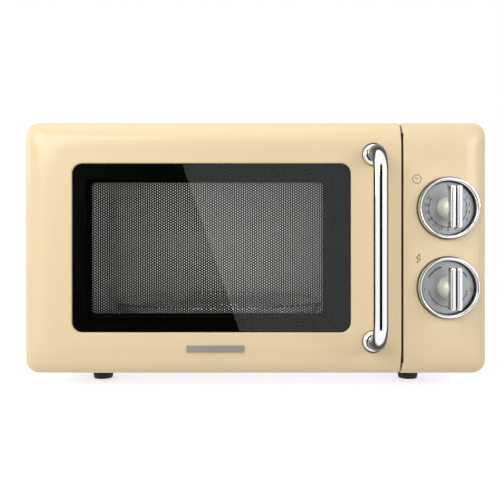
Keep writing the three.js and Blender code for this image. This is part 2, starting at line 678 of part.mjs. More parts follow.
function rearPanel() {
  const outline = roundedOutline(
    0,
    (COVER_TOP + COVER_BOTTOM) / 2,
    2 * COVER_SIDE,
    COVER_TOP - COVER_BOTTOM,
    COVER_RADIUS,
  );
  let sheet = plate(outline, [REAR_FRONT, DEPTH]);
  for (let i = 0; i < SLOT_COUNT; i += 1) {
    const z = FAN_Z - 44 + SLOT_PITCH * i;
    sheet = sheet.subtract(block([FAN_X - 38, FAN_X - 2], everyDepthBehind, [z - 1.5, z + 1.5]));
    sheet = sheet.subtract(block([FAN_X + 2, FAN_X + 38], everyDepthBehind, [z - 1.5, z + 1.5]));
  }
  return sheet.subtract(rod("y", GLAND_RADIUS + CLEAR, everyDepthBehind, [GLAND_X, GLAND_Z], 16));
}

const FOOT_DIMPLE = 14;
const FOOT_DEPTHS = [FOOT_FRONT_DEPTH, DEPTH - FOOT_REAR_SETBACK];

function basePlate() {
  const side = BAY_RIGHT - CLEAR;
  let base = block([-side, side], [BODY_FRONT, COVER_REAR], [COVER_BOTTOM, BASE_TOP]);
  for (const x of [-FOOT_SPREAD, FOOT_SPREAD]) {
    for (const depth of FOOT_DEPTHS) {
      base = base.add(rod("z", FOOT_DIMPLE, [BASE_TOP - 0.1, BASE_TOP + 1.5], [x, depth], 24));
    }
  }
  for (let i = 0; i < SLOT_COUNT / 2; i += 1) {
    const x = BAY_LEFT + 30 + 2 * SLOT_PITCH * i * 0.7;
    base = base.subtract(block([x, x + 3], [BODY_FRONT + 90, BODY_FRONT + 120], [0, BASE_TOP + 1]));
  }
  return base;
}

function foot(x, depth) {
  const top = COVER_BOTTOM - CLEAR;
  return turned(
    [
      [0, 0],
      [FOOT_RADIUS - 1, 0],
      [FOOT_RADIUS, 1.5],
      [FOOT_RADIUS + 1.5, top - 5],
      [FOOT_RADIUS + 3, top],
      [0, top],
    ],
    24,
    "z",
    [x, depth, 0],
  );
}

// ---- Cavity ----
const MAGNETRON = { depth: DEPTH - 142, z: COVER_TOP - 72 };
const FEED = {
  depth: [MAGNETRON.depth - 33, MAGNETRON.depth + 32],
  z: [MAGNETRON.z - 28, MAGNETRON.z + 27],
}; // microwave feed opening in the right wall
const LAMP = { depth: BODY_FRONT + 55.5, z: CAVITY_TOP - 31 };

function cavityWrap() {
  const depth = [BODY_FRONT, CAVITY_REAR - CLEAR];
  const outer = block([CAVITY_LEFT - SHEET, CAVITY_RIGHT + SHEET], depth, [CAVITY_FLOOR - SHEET, CAVITY_TOP + SHEET]);
  const inner = block([CAVITY_LEFT, CAVITY_RIGHT], [depth[0] - 1, depth[1] + 1], [0, CAVITY_TOP]);
  let wrap = outer.subtract(inner);
  const wall = [CAVITY_RIGHT - 1, CAVITY_RIGHT + SHEET + 1];
  wrap = wrap.subtract(block(wall, FEED.depth, FEED.z));
  for (let row = -1; row <= 1; row += 1) {
    for (let column = -2; column <= 2; column += 1) {
      wrap = wrap.subtract(rod("x", 2, wall, [LAMP.depth + 7 * column, LAMP.z + 7 * row], 8));
    }
  }
  return wrap;
}

// The floor and the rear wall are one folded sheet.
function cavityFloor() {
  const x = [CAVITY_LEFT + CLEAR, CAVITY_RIGHT - CLEAR];
  const floor = block(x, [BODY_FRONT, CAVITY_REAR + SHEET], [CAVITY_FLOOR - SHEET, CAVITY_FLOOR]);
  const across = [CAVITY_LEFT - SHEET, CAVITY_RIGHT + SHEET];
  const wall = block(across, [CAVITY_REAR, CAVITY_REAR + SHEET], [CAVITY_FLOOR - SHEET, CAVITY_TOP + SHEET]);
  return floor.add(wall).subtract(rod("z", 9, [0, 2 * CAVITY_FLOOR], [TABLE_X, TABLE_DEPTH], 24));
}

// ---- Turntable ----
function glassTray() {
  const top = TRAY_BASE + TRAY_THICKNESS;
  let tray = turned(
    [
      [0, TRAY_BASE],
      [TRAY_RADIUS - 12, TRAY_BASE],
      [TRAY_RADIUS - 5, TRAY_BASE + 2.5],
      [TRAY_RADIUS, top + TRAY_RIM - 3],
      [TRAY_RADIUS, top + TRAY_RIM - 1],
      [TRAY_RADIUS - 2, top + TRAY_RIM],
      [TRAY_RADIUS - 7, top + 1.5],
      [TRAY_RADIUS - 12, top],
      [0, top],
    ],
    64,
    "z",
    [TABLE_X, TABLE_DEPTH, 0],
  );
  for (let i = 0; i < ROLLERS; i += 1) {
    const angle = (2 * Math.PI * (i + 0.5)) / ROLLERS + Math.PI / 2;
    const at = [TABLE_X + 12 * Math.cos(angle), TABLE_DEPTH + 12 * Math.sin(angle)];
    tray = tray.add(rod("z", 3, [TRAY_BASE - 5, TRAY_BASE + 1], at, 12));
  }
  return tray;
}

// A three-lobed coupler on the motor's shaft. Its lobes push the lugs under the tray.
function driveCoupler() {
  const top = TRAY_BASE - CLEAR;
  let coupler = rod("z", 7, [CAVITY_FLOOR + 1.5, top], [TABLE_X, TABLE_DEPTH], 24);
  coupler = coupler.add(rod("z", 3, [CAVITY_FLOOR - 6, CAVITY_FLOOR + 3], [TABLE_X, TABLE_DEPTH], 12));
  const lobe = new THREE.BoxGeometry(12, 5, 9);
  lobe.translate(10, 0, top - 4.5);
  for (let i = 0; i < ROLLERS; i += 1) {
    const turn = new THREE.Matrix4().makeRotationZ((2 * Math.PI * i) / ROLLERS + Math.PI / 2);
    const turnedLobe = lobe.clone().applyMatrix4(turn).translate(TABLE_X, TABLE_DEPTH, 0);
    coupler = coupler.add(solidOf(turnedLobe));
  }
  return coupler;
}

const RING_RADIUS = ROLLER_TRACK - 10;
const AXLE_RADIUS = 1.8;
const AXLE_Z = CAVITY_FLOOR + CLEAR + ROLLER_RADIUS;

function rollerAngle(i) {
  return (2 * Math.PI * i) / ROLLERS + Math.PI / 2;
}

// A piece drawn along +X from the turntable's axis at the axle height, turned to roller i.
function atRoller(geometry, i) {
  const turn = new THREE.Matrix4().makeRotationZ(rollerAngle(i));
  return solidOf(geometry.clone().applyMatrix4(turn).translate(TABLE_X, TABLE_DEPTH, AXLE_Z));
}

function rollerRing() {
  let ring = turned(
    [
      [RING_RADIUS - 3, -2.5],
      [RING_RADIUS + 3, -2.5],
      [RING_RADIUS + 3, 2.5],
      [RING_RADIUS - 3, 2.5],
      [RING_RADIUS - 3, -2.5],
    ],
    48,
    "z",
    [TABLE_X, TABLE_DEPTH, AXLE_Z],
  );
  const outer = ROLLER_TRACK + ROLLER_WIDTH / 2;
  const axle = new THREE.CylinderGeometry(AXLE_RADIUS, AXLE_RADIUS, outer + 2 - RING_RADIUS, 12);
  axle.rotateZ(Math.PI / 2).translate((outer + 2 + RING_RADIUS) / 2, 0, 0);
  const cap = new THREE.CylinderGeometry(3, 3, 1.5, 12);
  cap.rotateZ(Math.PI / 2).translate(outer + 1.5, 0, 0);
  for (let i = 0; i < ROLLERS; i += 1) {
    ring = ring.add(atRoller(axle, i)).add(atRoller(cap, i));
  }
  return ring;
}

function roller(i) {
  const wheel = new THREE.CylinderGeometry(ROLLER_RADIUS, ROLLER_RADIUS, ROLLER_WIDTH, 24);
  wheel.rotateZ(Math.PI / 2).translate(ROLLER_TRACK, 0, 0);
  const bore = new THREE.CylinderGeometry(AXLE_RADIUS + 0.3, AXLE_RADIUS + 0.3, ROLLER_WIDTH + 2, 12);
  bore.rotateZ(Math.PI / 2).translate(ROLLER_TRACK, 0, 0);
  return atRoller(wheel, i).subtract(atRoller(bore, i));
}

function turntableMotor() {
  const top = CAVITY_FLOOR - SHEET - CLEAR;
  let motor = rod("z", 24, [top - 15, top], [TABLE_X, TABLE_DEPTH], 32);
  motor = motor.add(block([TABLE_X - 32, TABLE_X + 32], [TABLE_DEPTH - 5, TABLE_DEPTH + 5], [top - 1.5, top]));
  return motor.subtract(rod("z", 3.5, [top - 7, top + 1], [TABLE_X, TABLE_DEPTH], 16));
}

// ---- Hinges ----
// A flange on the front frame, a tongue that reaches into the door, and a pin.
function hinge(high) {
  const tongueZ = high ? TONGUE_HIGH : mirrorHeight(TONGUE_HIGH);
  const flangeZ = high ? [TONGUE_HIGH[0] - 20, TONGUE_HIGH[1]] : mirrorHeight([TONGUE_HIGH[0] - 20, TONGUE_HIGH[1]]);
  const pinHigh = [TONGUE_HIGH[0] - 12, TONGUE_HIGH[1]];
  const x = [PIVOT_X - TONGUE_HALF_WIDTH, PIVOT_X + TONGUE_HALF_WIDTH];
  const back = FRAME_FACE - CLEAR;
  return block(x, [PIVOT_DEPTH, back], tongueZ)
    .add(rod("z", TONGUE_HALF_WIDTH, tongueZ, [PIVOT_X, PIVOT_DEPTH], 24))
    .add(block([x[0], x[1] + 6], [back - 1.5, back], flangeZ))
    .add(rod("z", PIN_RADIUS, high ? pinHigh : mirrorHeight(pinHigh), [PIVOT_X, PIVOT_DEPTH], 16));
}

// ---- Door interlock ----
const SWITCH = { width: 13, height: 16, depth: 16 };
const PLUNGER_TRAVEL = 1.5;
const SWITCH_FRONT = HOOK_TIP + 4;

// A carrier behind the front frame, with a catch ledge under each hook.
function interlockBracket() {
  const wall = [HOOK_X[1] + 5, HOOK_X[1] + 9];
  const depth = [BODY_FRONT + CLEAR, SWITCH_FRONT + SWITCH.depth];
  const reach = HOOK_SPREAD + 15;
  let bracket = block(wall, depth, [MIDDLE - reach, MIDDLE + reach]);
  for (const z of [MIDDLE - HOOK_SPREAD, MIDDLE + HOOK_SPREAD]) {
    const top = z - HOOK_HALF_HEIGHT - HOOK_BARB - 0.6;
    bracket = bracket.add(block([HOOK_X[0] - 1, wall[1]], [depth[0], HOOK_TIP - 6.5], [top - 5, top]));
  }
  return bracket;
}

function interlockSwitch(z) {
  const right = HOOK_X[1] + 5 - CLEAR;
  const x = [right - SWITCH.width, right];
  const body = block(x, [SWITCH_FRONT, SWITCH_FRONT + SWITCH.depth], [z - SWITCH.height / 2, z + SWITCH.height / 2]);
  const pocket = block([HOOK_X[0] + 0.7, HOOK_X[1] - 0.7], [SWITCH_FRONT - 1, SWITCH_FRONT + 5], [z - 2.8, z + 2.8]);
  return body.subtract(pocket);
}

function switchPlunger(z) {
  return block([HOOK_X[0] + 1, HOOK_X[1] - 1], [HOOK_TIP + 0.8, SWITCH_FRONT + 2.5], [z - 2.5, z + 2.5]);
}

// ---- Electrical bay ----
const BAY_X = BAY_LEFT + BAY_WIDTH / 2;
const FAN_X = BAY_X;
const FAN_Z = COVER_TOP - 70;
const FAN_RADIUS = 44;
const SHROUD_DEPTH = [DEPTH - 59, DEPTH - 37];
const GLAND_RADIUS = 8;
const GLAND_X = BAY_LEFT + 22;
const GLAND_Z = 60;

function fanShroud() {
  const rim = SHROUD_DEPTH[1];
  const half = FAN_RADIUS + 6;
  const plateX = [FAN_X - half, FAN_X + half];
  let shroud = block(plateX, [rim - 2, rim], [FAN_Z - half, FAN_Z + half]);
  shroud = shroud.add(rod("y", FAN_RADIUS + 4.5, SHROUD_DEPTH, [FAN_X, FAN_Z], 40));
  shroud = shroud.subtract(rod("y", FAN_RADIUS + 2.5, [SHROUD_DEPTH[0] - 1, rim + 1], [FAN_X, FAN_Z], 40));
  // Two arms across the back carry the motor.
  shroud = shroud.add(block([FAN_X - 5, FAN_X + 5], [rim - 1, rim + 2], [FAN_Z - half, FAN_Z + half]));
  for (const x of [FAN_X - half + 5, FAN_X + half - 5]) {
    for (const z of [FAN_Z - half + 5, FAN_Z + half - 5]) {
      shroud = shroud.add(rod("y", 4, [rim - 1, REAR_FRONT - CLEAR], [x, z], 12));
    }
  }
  return shroud.subtract(rod("y", 3.4, [rim - 3, rim + 3], [FAN_X, FAN_Z], 16));
}

function fanBlade() {
  const depth = [SHROUD_DEPTH[0], SHROUD_DEPTH[1] - 4];
  let fan = rod("y", 12, depth, [FAN_X, FAN_Z], 24);
  fan = fan.add(rod("y", 2.5, [depth[0], SHROUD_DEPTH[1] + 7], [FAN_X, FAN_Z], 12));
  const blade = new THREE.BoxGeometry(FAN_RADIUS - 8, 1.4, 22);
  blade.rotateX((35 * Math.PI) / 180).translate(8 + (FAN_RADIUS - 8) / 2, 0, 0);
  const bladeCount = 5;
  for (let i = 0; i < bladeCount; i += 1) {
    const turn = new THREE.Matrix4().makeRotationY((2 * Math.PI * i) / bladeCount);
    const placed = blade.clone().applyMatrix4(turn).translate(FAN_X, (depth[0] + depth[1]) / 2, FAN_Z);
    fan = fan.add(solidOf(placed));
  }
  return fan;
}

function fanMotor() {
  const front = SHROUD_DEPTH[1] + 2 + CLEAR;
  const core = block([FAN_X - 27, FAN_X + 27], [front, front + 16], [FAN_Z - 22, FAN_Z + 22]);
  const coil = block([FAN_X - 15, FAN_X + 15], [front - 0.0, front + 24], [FAN_Z - 36, FAN_Z - 12]);
  return core.add(coil).subtract(rod("y", 3.2, [front - 1, front + 8], [FAN_X, FAN_Z], 16));
}

const YOKE = {
  x: [BAY_LEFT + 18, BAY_LEFT + 82],
  depth: [MAGNETRON.depth - 35, MAGNETRON.depth + 35],
  z: [MAGNETRON.z - 38, MAGNETRON.z + 38],
};
const YOKE_WALL = 2.4;

// The waveguide is a folded channel from the magnetron's antenna to the feed opening.
function waveguide() {
  const x = [BAY_LEFT + CLEAR, YOKE.x[0] - CLEAR];
  const outer = block(x, [MAGNETRON.depth - 45, MAGNETRON.depth + 45], [MAGNETRON.z - 40, MAGNETRON.z + 40]);
  const inner = block(
    [x[0] - 1, x[1] - SHEET],
    [MAGNETRON.depth - 44, MAGNETRON.depth + 44],
    [MAGNETRON.z - 39, MAGNETRON.z + 39],
  );
  const port = rod("x", 10, [x[0], x[1] + 1], [MAGNETRON.depth, MAGNETRON.z], 20);
  return outer.subtract(inner).subtract(port);
}

function waveguideCover() {
  const x = [CAVITY_RIGHT - CLEAR - 0.8, CAVITY_RIGHT - CLEAR];
  return block(x, [FEED.depth[0] - 6, FEED.depth[1] + 6], [FEED.z[0] - 6, FEED.z[1] + 6]);
}

// The yoke is a steel ring open to the fan's air, with the filter box riveted to its far side.
function magnetronYoke() {
  const outer = block(YOKE.x, YOKE.depth, YOKE.z);
  const inner = block(
    [YOKE.x[0] + YOKE_WALL, YOKE.x[1] - YOKE_WALL],
    [YOKE.depth[0] - 1, YOKE.depth[1] + 1],
    [YOKE.z[0] + YOKE_WALL, YOKE.z[1] - YOKE_WALL],
  );
  const port = rod("x", 10, [YOKE.x[0] - 1, YOKE.x[0] + 5], [MAGNETRON.depth, MAGNETRON.z], 20);
  const filter = block(
    [YOKE.x[1] - 1, YOKE.x[1] + 20],
    [YOKE.depth[0] + 6, YOKE.depth[1] - 6],
    [YOKE.z[0] + 14, YOKE.z[1] - 14],
  );
  return outer.subtract(inner).subtract(port).add(filter);
}

function magnetronTube() {
  const inner = [YOKE.x[0] + YOKE_WALL + CLEAR, YOKE.x[1] - YOKE_WALL - CLEAR];
  const axis = [MAGNETRON.depth, MAGNETRON.z];
  let tube = rod("x", 18, inner, axis, 24).add(rod("x", 8, [YOKE.x[0] - 12, inner[0] + 2], axis, 16));
  const finCount = 7;
  for (let i = 0; i < finCount; i += 1) {
    const x = inner[0] + 14 + i * 5;
    const z = [YOKE.z[0] + YOKE_WALL + CLEAR, YOKE.z[1] - YOKE_WALL - CLEAR];
    tube = tube.add(block([x, x + 0.8], [YOKE.depth[0] + 3, YOKE.depth[1] - 3], z));
  }
  return tube;
}

const CORE = { x: [BAY_X - 40, BAY_X + 40], depth: [DEPTH - 112, DEPTH - 52], z: [BASE_TOP + CLEAR, BASE_TOP + 66] };
const LIMB = 14; // outer limbs and yokes of the transformer core
const CORE_WINDOW = 14;

function transformerCore() {
  let core = block(CORE.x, CORE.depth, CORE.z);
  for (const start of [CORE.x[0] + LIMB, CORE.x[1] - LIMB - CORE_WINDOW]) {
    const through = [CORE.depth[0] - 1, CORE.depth[1] + 1];
    core = core.subtract(block([start, start + CORE_WINDOW], through, [CORE.z[0] + LIMB, CORE.z[1] - LIMB]));
  }
  return core;
}

function transformerCoil(z) {
  const limb = [CORE.x[0] + LIMB + CORE_WINDOW, CORE.x[1] - LIMB - CORE_WINDOW];
  const grow = CORE_WINDOW - 1;
  const depth = [CORE.depth[0] - grow, CORE.depth[1] + grow];
  const outer = block([limb[0] - grow, limb[1] + grow], depth, z);
  const inner = block(
    [limb[0] - CLEAR, limb[1] + CLEAR],
    [CORE.depth[0] - CLEAR, CORE.depth[1] + CLEAR],
    [z[0] - 1, z[1] + 1],
  );
  return outer.subtract(inner);
}

function capacitor() {
  const [x, depth, bottom] = [BAY_X + 20, BODY_FRONT + 75, BASE_TOP + CLEAR];
  let can = block([x - 10, x + 10], [depth - 16, depth + 16], [bottom, bottom + 78]);
  for (const side of [-1, 1]) {
    can = can.add(rod("z", 16, [bottom, bottom + 78], [x + side * 10, depth], 24));
    can = can.add(block([x + side * 9 - 3, x + side * 9 + 3], [depth - 0.6, depth + 0.6], [bottom + 77, bottom + 88]));
  }
  return can;
}

// Lamp with its socket on a small bracket outside the cavity wall.
function ovenLamp() {
  const left = BAY_LEFT + CLEAR;
  const bracket = block([left, left + 1.5], [LAMP.depth - 24, LAMP.depth + 24], [LAMP.z + 13, LAMP.z + 22]);
  const shelf = block([left, left + 30], [LAMP.depth - 10, LAMP.depth + 10], [LAMP.z + 17, LAMP.z + 19]);
  const socket = rod("z", 8, [LAMP.z + 5, LAMP.z + 18], [left + 16, LAMP.depth], 20);
  const bulb = turned(
    [
      [0, -22],
      [6, -20],
      [9.5, -14],
      [9.5, -8],
      [6.5, 0],
      [6.5, 6],
      [0, 6],
    ],
    20,
    "z",
    [left + 16, LAMP.depth, LAMP.z],
  );
  return bracket.add(shelf).add(socket).add(bulb);
}

// Rubber bush in the rear panel that the mains lead would leave through.
function cordGland() {
  return turned(
    [
      [4, -3],
      [GLAND_RADIUS + 3, -3],
      [GLAND_RADIUS + 3, -CLEAR - (DEPTH - REAR_FRONT)],
      [GLAND_RADIUS, -CLEAR - (DEPTH - REAR_FRONT)],
      [GLAND_RADIUS, CLEAR],
      [GLAND_RADIUS + 3, CLEAR],
      [GLAND_RADIUS + 2, GLAND_PROUD],
      [4, GLAND_PROUD],
      [4, -3],
    ],
    24,
    "rear",
    [GLAND_X, DEPTH, GLAND_Z],
  );
}

const everyDepthBehind = [REAR_FRONT - 1, DEPTH + 1];

// ---- Assembly ----
add("front_frame", "zinc_steel", frontFrame());
add("outer_cover", "cream_steel", outerCover());
add("rear_panel", "zinc_steel", rearPanel());
add("base_plate", "zinc_steel", basePlate());
const footNames = ["front", "rear"];
FOOT_DEPTHS.forEach((depth, i) => {
  add(`foot_${footNames[i]}_left`, "rubber", foot(-FOOT_SPREAD, depth));
  add(`foot_${footNames[i]}_right`, "rubber", foot(FOOT_SPREAD, depth));
});
add("cavity_wrap", "cavity_enamel", cavityWrap());
add("cavity_floor", "cavity_enamel", cavityFloor());
add("waveguide_cover", "mica", waveguideCover());
add("hinge_upper", "zinc_steel", hinge(true));
add("hinge_lower", "zinc_steel", hinge(false));

add("door_frame", "cream_gloss", doorFrame());
add("door_glass", "window_glass", doorGlass());
add("door_pan", "black_steel", doorPan());
add("window_screen", "black_steel", windowScreen());
add("inner_window", "clear_glass", innerWindow());
add("choke_cover", "dark_plastic", chokeCover());
add("handle_bar", "chrome", handleBar());
add("handle_rosette_upper", "chrome", rosette(HANDLE_HIGH));
add("handle_rosette_lower", "chrome", rosette(HANDLE_LOW));
add("badge_plate", "chrome", badge());
add("latch_bar", "dark_plastic", latchBar());
add("latch_spring", "spring_steel", latchSpring());

add("control_fascia", "cream_gloss", controlFascia());
for (const [name, z] of [
  ["timer", TIMER_Z],
  ["power", POWER_Z],
]) {
  add(`${name}_bezel`, "chrome", bezel(z));
  add(`${name}_dial`, "dial_silver", dial(z));
  add(`${name}_knob`, "chrome", knob(z));
  add(`${name}_shaft`, "zinc_steel", shaft(z));
}
add("timer_unit", "white_plastic", controlUnit(TIMER_Z, 56, 54, 42));
add("power_selector_unit", "white_plastic", controlUnit(POWER_Z, 46, 46, 32));

add("interlock_bracket", "white_plastic", interlockBracket());
for (const [name, z] of [
  ["primary_switch", MIDDLE + HOOK_SPREAD],
  ["monitor_switch", MIDDLE - HOOK_SPREAD],
]) {
  add(name, "dark_plastic", interlockSwitch(z));
  add(`${name}_plunger`, "white_plastic", switchPlunger(z));
}

add("turntable_motor", "zinc_steel", turntableMotor());
add("drive_coupler", "white_plastic", driveCoupler());
add("glass_tray", "clear_glass", glassTray());
add("roller_ring", "white_plastic", rollerRing());
for (let i = 0; i < ROLLERS; i += 1) {
  add(`roller_${i + 1}`, "white_plastic", roller(i));
}

add("waveguide", "zinc_steel", waveguide());
add("magnetron_yoke", "zinc_steel", magnetronYoke());
add("magnetron_tube", "copper_coil", magnetronTube());
add("fan_shroud", "dark_plastic", fanShroud());
add("fan_blade", "white_plastic", fanBlade());
add("fan_motor", "zinc_steel", fanMotor());
add("transformer_core", "zinc_steel", transformerCore());
add("transformer_primary_coil", "copper_coil", transformerCoil([CORE.z[0] + LIMB + 1, CORE.z[0] + LIMB + 18]));
add("transformer_secondary_coil", "copper_coil", transformerCoil([CORE.z[1] - LIMB - 17, CORE.z[1] - LIMB - 1]));
add("high_voltage_capacitor", "dial_silver", capacitor());
add("oven_lamp", "clear_glass", ovenLamp());
add("cord_gland", "rubber", cordGland());

export default oven;
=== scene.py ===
import math

import bmesh
import bpy
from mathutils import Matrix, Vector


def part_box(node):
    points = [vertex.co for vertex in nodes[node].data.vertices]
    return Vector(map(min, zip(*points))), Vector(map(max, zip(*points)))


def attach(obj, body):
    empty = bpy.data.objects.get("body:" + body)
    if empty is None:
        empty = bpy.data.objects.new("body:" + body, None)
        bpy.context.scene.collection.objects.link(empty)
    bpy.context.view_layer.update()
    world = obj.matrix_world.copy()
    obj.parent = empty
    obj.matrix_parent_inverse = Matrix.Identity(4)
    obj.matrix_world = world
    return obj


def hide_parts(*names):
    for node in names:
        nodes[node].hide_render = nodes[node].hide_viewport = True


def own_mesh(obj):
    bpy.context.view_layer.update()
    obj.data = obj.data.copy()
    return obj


# Countertop microwave oven: a cream crowned front with a windowed door, a chrome handle and two dials,
# on a steel cabinet. Metres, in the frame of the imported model, with the front facing -Y.
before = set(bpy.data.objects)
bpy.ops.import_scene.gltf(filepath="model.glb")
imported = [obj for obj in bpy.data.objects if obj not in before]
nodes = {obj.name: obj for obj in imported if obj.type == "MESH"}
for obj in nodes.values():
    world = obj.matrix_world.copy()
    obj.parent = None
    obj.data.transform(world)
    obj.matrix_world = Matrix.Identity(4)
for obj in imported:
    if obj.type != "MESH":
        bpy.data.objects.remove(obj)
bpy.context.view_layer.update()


# ---- Camera ----
# It stands level with the middle of the door, 0.62 m in front of it, and looks straight at the oven. Its
# lens is shifted a little, so that the oven stands off the middle of the picture.
door_low, door_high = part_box("door_frame")
panel_low, panel_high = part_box("control_fascia")
front = door_low.y
camera_distance = 0.62
camera_drop = 0.002
facing_front = (math.radians(90), 0, 0)


def centre_of(low, high):
    """The middle of a box, as three numbers."""
    return [(low[i] + high[i]) / 2 for i in range(3)]


middle = centre_of(door_low, door_high)[2]
bpy.ops.object.camera_add(
    location=(0, front - camera_distance, middle - camera_drop), rotation=facing_front
)
camera = bpy.context.object
camera.name = "camera"
camera.data.lens = 46.4
camera.data.sensor_width = 36
camera.data.shift_x = -0.011
camera.data.clip_start = 0.01
bpy.context.scene.camera = camera


# ---- Studio ----
# A white sweep in a white room, with a large soft key light to the left, a weak one at the left side, a
# fill light to the right and one overhead. A dark screen straight ahead gives the chrome its black core.
room_light = 0.38
floor_grey, floor_white, floor_glow = 0.72, 0.94, 0.6
scene = bpy.context.scene
scene.view_settings.view_transform = "Standard"
room = scene.world or bpy.data.worlds.new("room")
scene.world = room
room.use_nodes = True
room_tree = room.node_tree
sky = room_tree.nodes["Background"]
sky.inputs["Color"].default_value = (1, 1, 1, 1)


def set_inputs(node, values):
    """Sets inputs of a node by name or number."""
    for socket, value in values.items():
        node.inputs[socket].default_value = value


def remap(tree, value, from_min, from_max, to_min=0.0, to_max=1.0):
    """Maps a value from one range to another, and gives the socket of the result."""
    node = tree.nodes.new("ShaderNodeMapRange")
    set_inputs(node, {"From Min": from_min, "From Max": from_max, "To Min": to_min, "To Max": to_max})
    tree.links.new(value, node.inputs["Value"])
    return node.outputs["Result"]


def colour_mix(tree, factor, first, second):
    """Mixes two colours, each a socket or three numbers, and gives the socket of the result."""
    node = tree.nodes.new("ShaderNodeMix")
    node.data_type = "RGBA"
    tree.links.new(factor, node.inputs[0])
    for number, colour in ((6, first), (7, second)):
        if isinstance(colour, tuple):
            node.inputs[number].default_value = (*colour, 1)
        else:
            tree.links.new(colour, node.inputs[number])
    return node.outputs[2]


def new_material(name):
    """A new material and its shader."""
    material = bpy.data.materials.new(name)
    material.use_nodes = True
    return material, material.node_tree.nodes["Principled BSDF"]


# The room is bright where it is seen directly, in a mirror or through glass, and lights weakly.
ray = room_tree.nodes.new("ShaderNodeLightPath")
seen = ray.outputs["Is Camera Ray"]
for way in ("Is Glossy Ray", "Is Transmission Ray"):
    either = room_tree.nodes.new("ShaderNodeMath")
    either.operation = "MAXIMUM"
    room_tree.links.new(seen, either.inputs[0])
    room_tree.links.new(ray.outputs[way], either.inputs[1])
    seen = either.outputs[0]
room_tree.links.new(remap(room_tree, seen, 0, 1, room_light, 1), sky.inputs["Strength"])

bpy.ops.mesh.primitive_plane_add(size=14, location=(0, 2.5, 0))
floor = bpy.context.object
floor.name = "studio_floor"
floor_paint, floor_shader = new_material("studio_floor")
set_inputs(floor_shader, {"Roughness": 0.7, "Specular IOR Level": 0.1, "Emission Color": (1, 1, 1, 1)})
floor_tree = floor_paint.node_tree
floor_seen = floor_tree.nodes.new("ShaderNodeLightPath").outputs["Is Camera Ray"]
floor_tone = colour_mix(floor_tree, floor_seen, (floor_grey,) * 3, (floor_white,) * 3)
floor_tree.links.new(floor_tone, floor_shader.inputs["Base Color"])
floor_shine = remap(floor_tree, floor_seen, 0, 1, 0, floor_glow)
floor_tree.links.new(floor_shine, floor_shader.inputs["Emission Strength"])
floor.visible_glossy = False
floor.visible_transmission = False
floor.data.materials.append(floor_paint)


def soft_light(name, place, aim, size, power, colour=(1, 1, 1)):
    """An area light that looks from one point at another."""
    bpy.ops.object.light_add(type="AREA", location=place)
    light = bpy.context.object
    light.name = name
    light.data.shape = "RECTANGLE"
    light.data.size, light.data.size_y = size
    light.data.energy = power
    light.data.color = colour
    run = [aim[i] - place[i] for i in range(3)]
    tilt = math.acos(-run[2] / math.dist(place, aim))
    light.rotation_euler = (tilt, 0, math.atan2(-run[0], run[1]))
    return light


oven_middle = (0, 0, middle)
soft_light("key_light", (-0.95, front - 1.3, 0.95), oven_middle, (1.25, 1.1), 16.5, (0.98, 1.0, 0.93))
soft_light("side_light", (-1.4, 0.0, 0.7), oven_middle, (0.8, 0.8), 3, (0.93, 1.0, 0.72))
soft_light("fill_light", (1.3, front - 1.1, 0.7), oven_middle, (0.8, 0.8), 6.5)
soft_light("top_light", (-0.25, -0.35, 1.4), oven_middle, (1.3, 0.9), 4.3, (0.84, 1.0, 0.7))

bpy.ops.mesh.primitive_plane_add(size=1, location=(-0.11, front - 1.2, 0.2), rotation=facing_front)
dark_screen = bpy.context.object
dark_screen.name = "studio_dark_screen"
dark_screen.scale = (0.9, 1.7, 1)
dark_paint, dark_shader = new_material("studio_dark_screen")
set_inputs(dark_shader, {"Base Color": (0.004, 0.004, 0.004, 1), "Specular IOR Level": 0})
dark_screen.data.materials.append(dark_paint)
dark_screen.visible_camera = False
dark_screen.visible_diffuse = False
dark_screen.visible_shadow = False


# ---- Door moulding ----
# One injection-moulded shell of glossy cream ABS, 3 mm thick, crowned towards its edges. It is open at
# the back, where the steel pan is screwed in, and has a rounded hinge edge and an opening for the glass.
skin = 0.0028
crown_width = 0.028
crown_depth = 0.016
crown_steps = 16
corner_radius = 0.013
moulding_depth = door_high.y - front
moulding_back = front + moulding_depth
opening_round = 0.0013
cut_round = 0.0009
hair = 1e-5
cream = (0.845, 0.645, 0.42)


def surface_grain():
    """A node group with a cloudy value and a fine grain value, both from 0 to 1, in object space."""
    group = bpy.data.node_groups.new("surface_grain", "ShaderNodeTree")
    for name, way, kind in (
        ("Stretch", "INPUT", "NodeSocketVector"),
        ("Fine Scale", "INPUT", "NodeSocketFloat"),
        ("Broad", "OUTPUT", "NodeSocketFloat"),
        ("Fine", "OUTPUT", "NodeSocketFloat"),
    ):
        group.interface.new_socket(name=name, in_out=way, socket_type=kind)
    given = group.nodes.new("NodeGroupInput")
    result = group.nodes.new("NodeGroupOutput")
    place = group.nodes.new("ShaderNodeTexCoord")
    stretched = group.nodes.new("ShaderNodeVectorMath")
    stretched.operation = "MULTIPLY"
    broad = group.nodes.new("ShaderNodeTexNoise")
    set_inputs(broad, {"Scale": 16, "Detail": 4})
    fine = group.nodes.new("ShaderNodeTexNoise")
    set_inputs(fine, {"Detail": 3})
    group.links.new(place.outputs["Object"], broad.inputs["Vector"])
    group.links.new(place.outputs["Object"], stretched.inputs[0])
    group.links.new(given.outputs["Stretch"], stretched.inputs[1])
    group.links.new(stretched.outputs["Vector"], fine.inputs["Vector"])
    group.links.new(given.outputs["Fine Scale"], fine.inputs["Scale"])
    group.links.new(broad.outputs[0], result.inputs["Broad"])
    group.links.new(fine.outputs[0], result.inputs["Fine"])
    return group


grain_group = surface_grain()


def add_grain(tree, stretch, scale):
    texture = tree.nodes.new("ShaderNodeGroup")
    texture.node_tree = grain_group
    set_inputs(texture, {"Stretch": stretch, "Fine Scale": scale})
    return texture


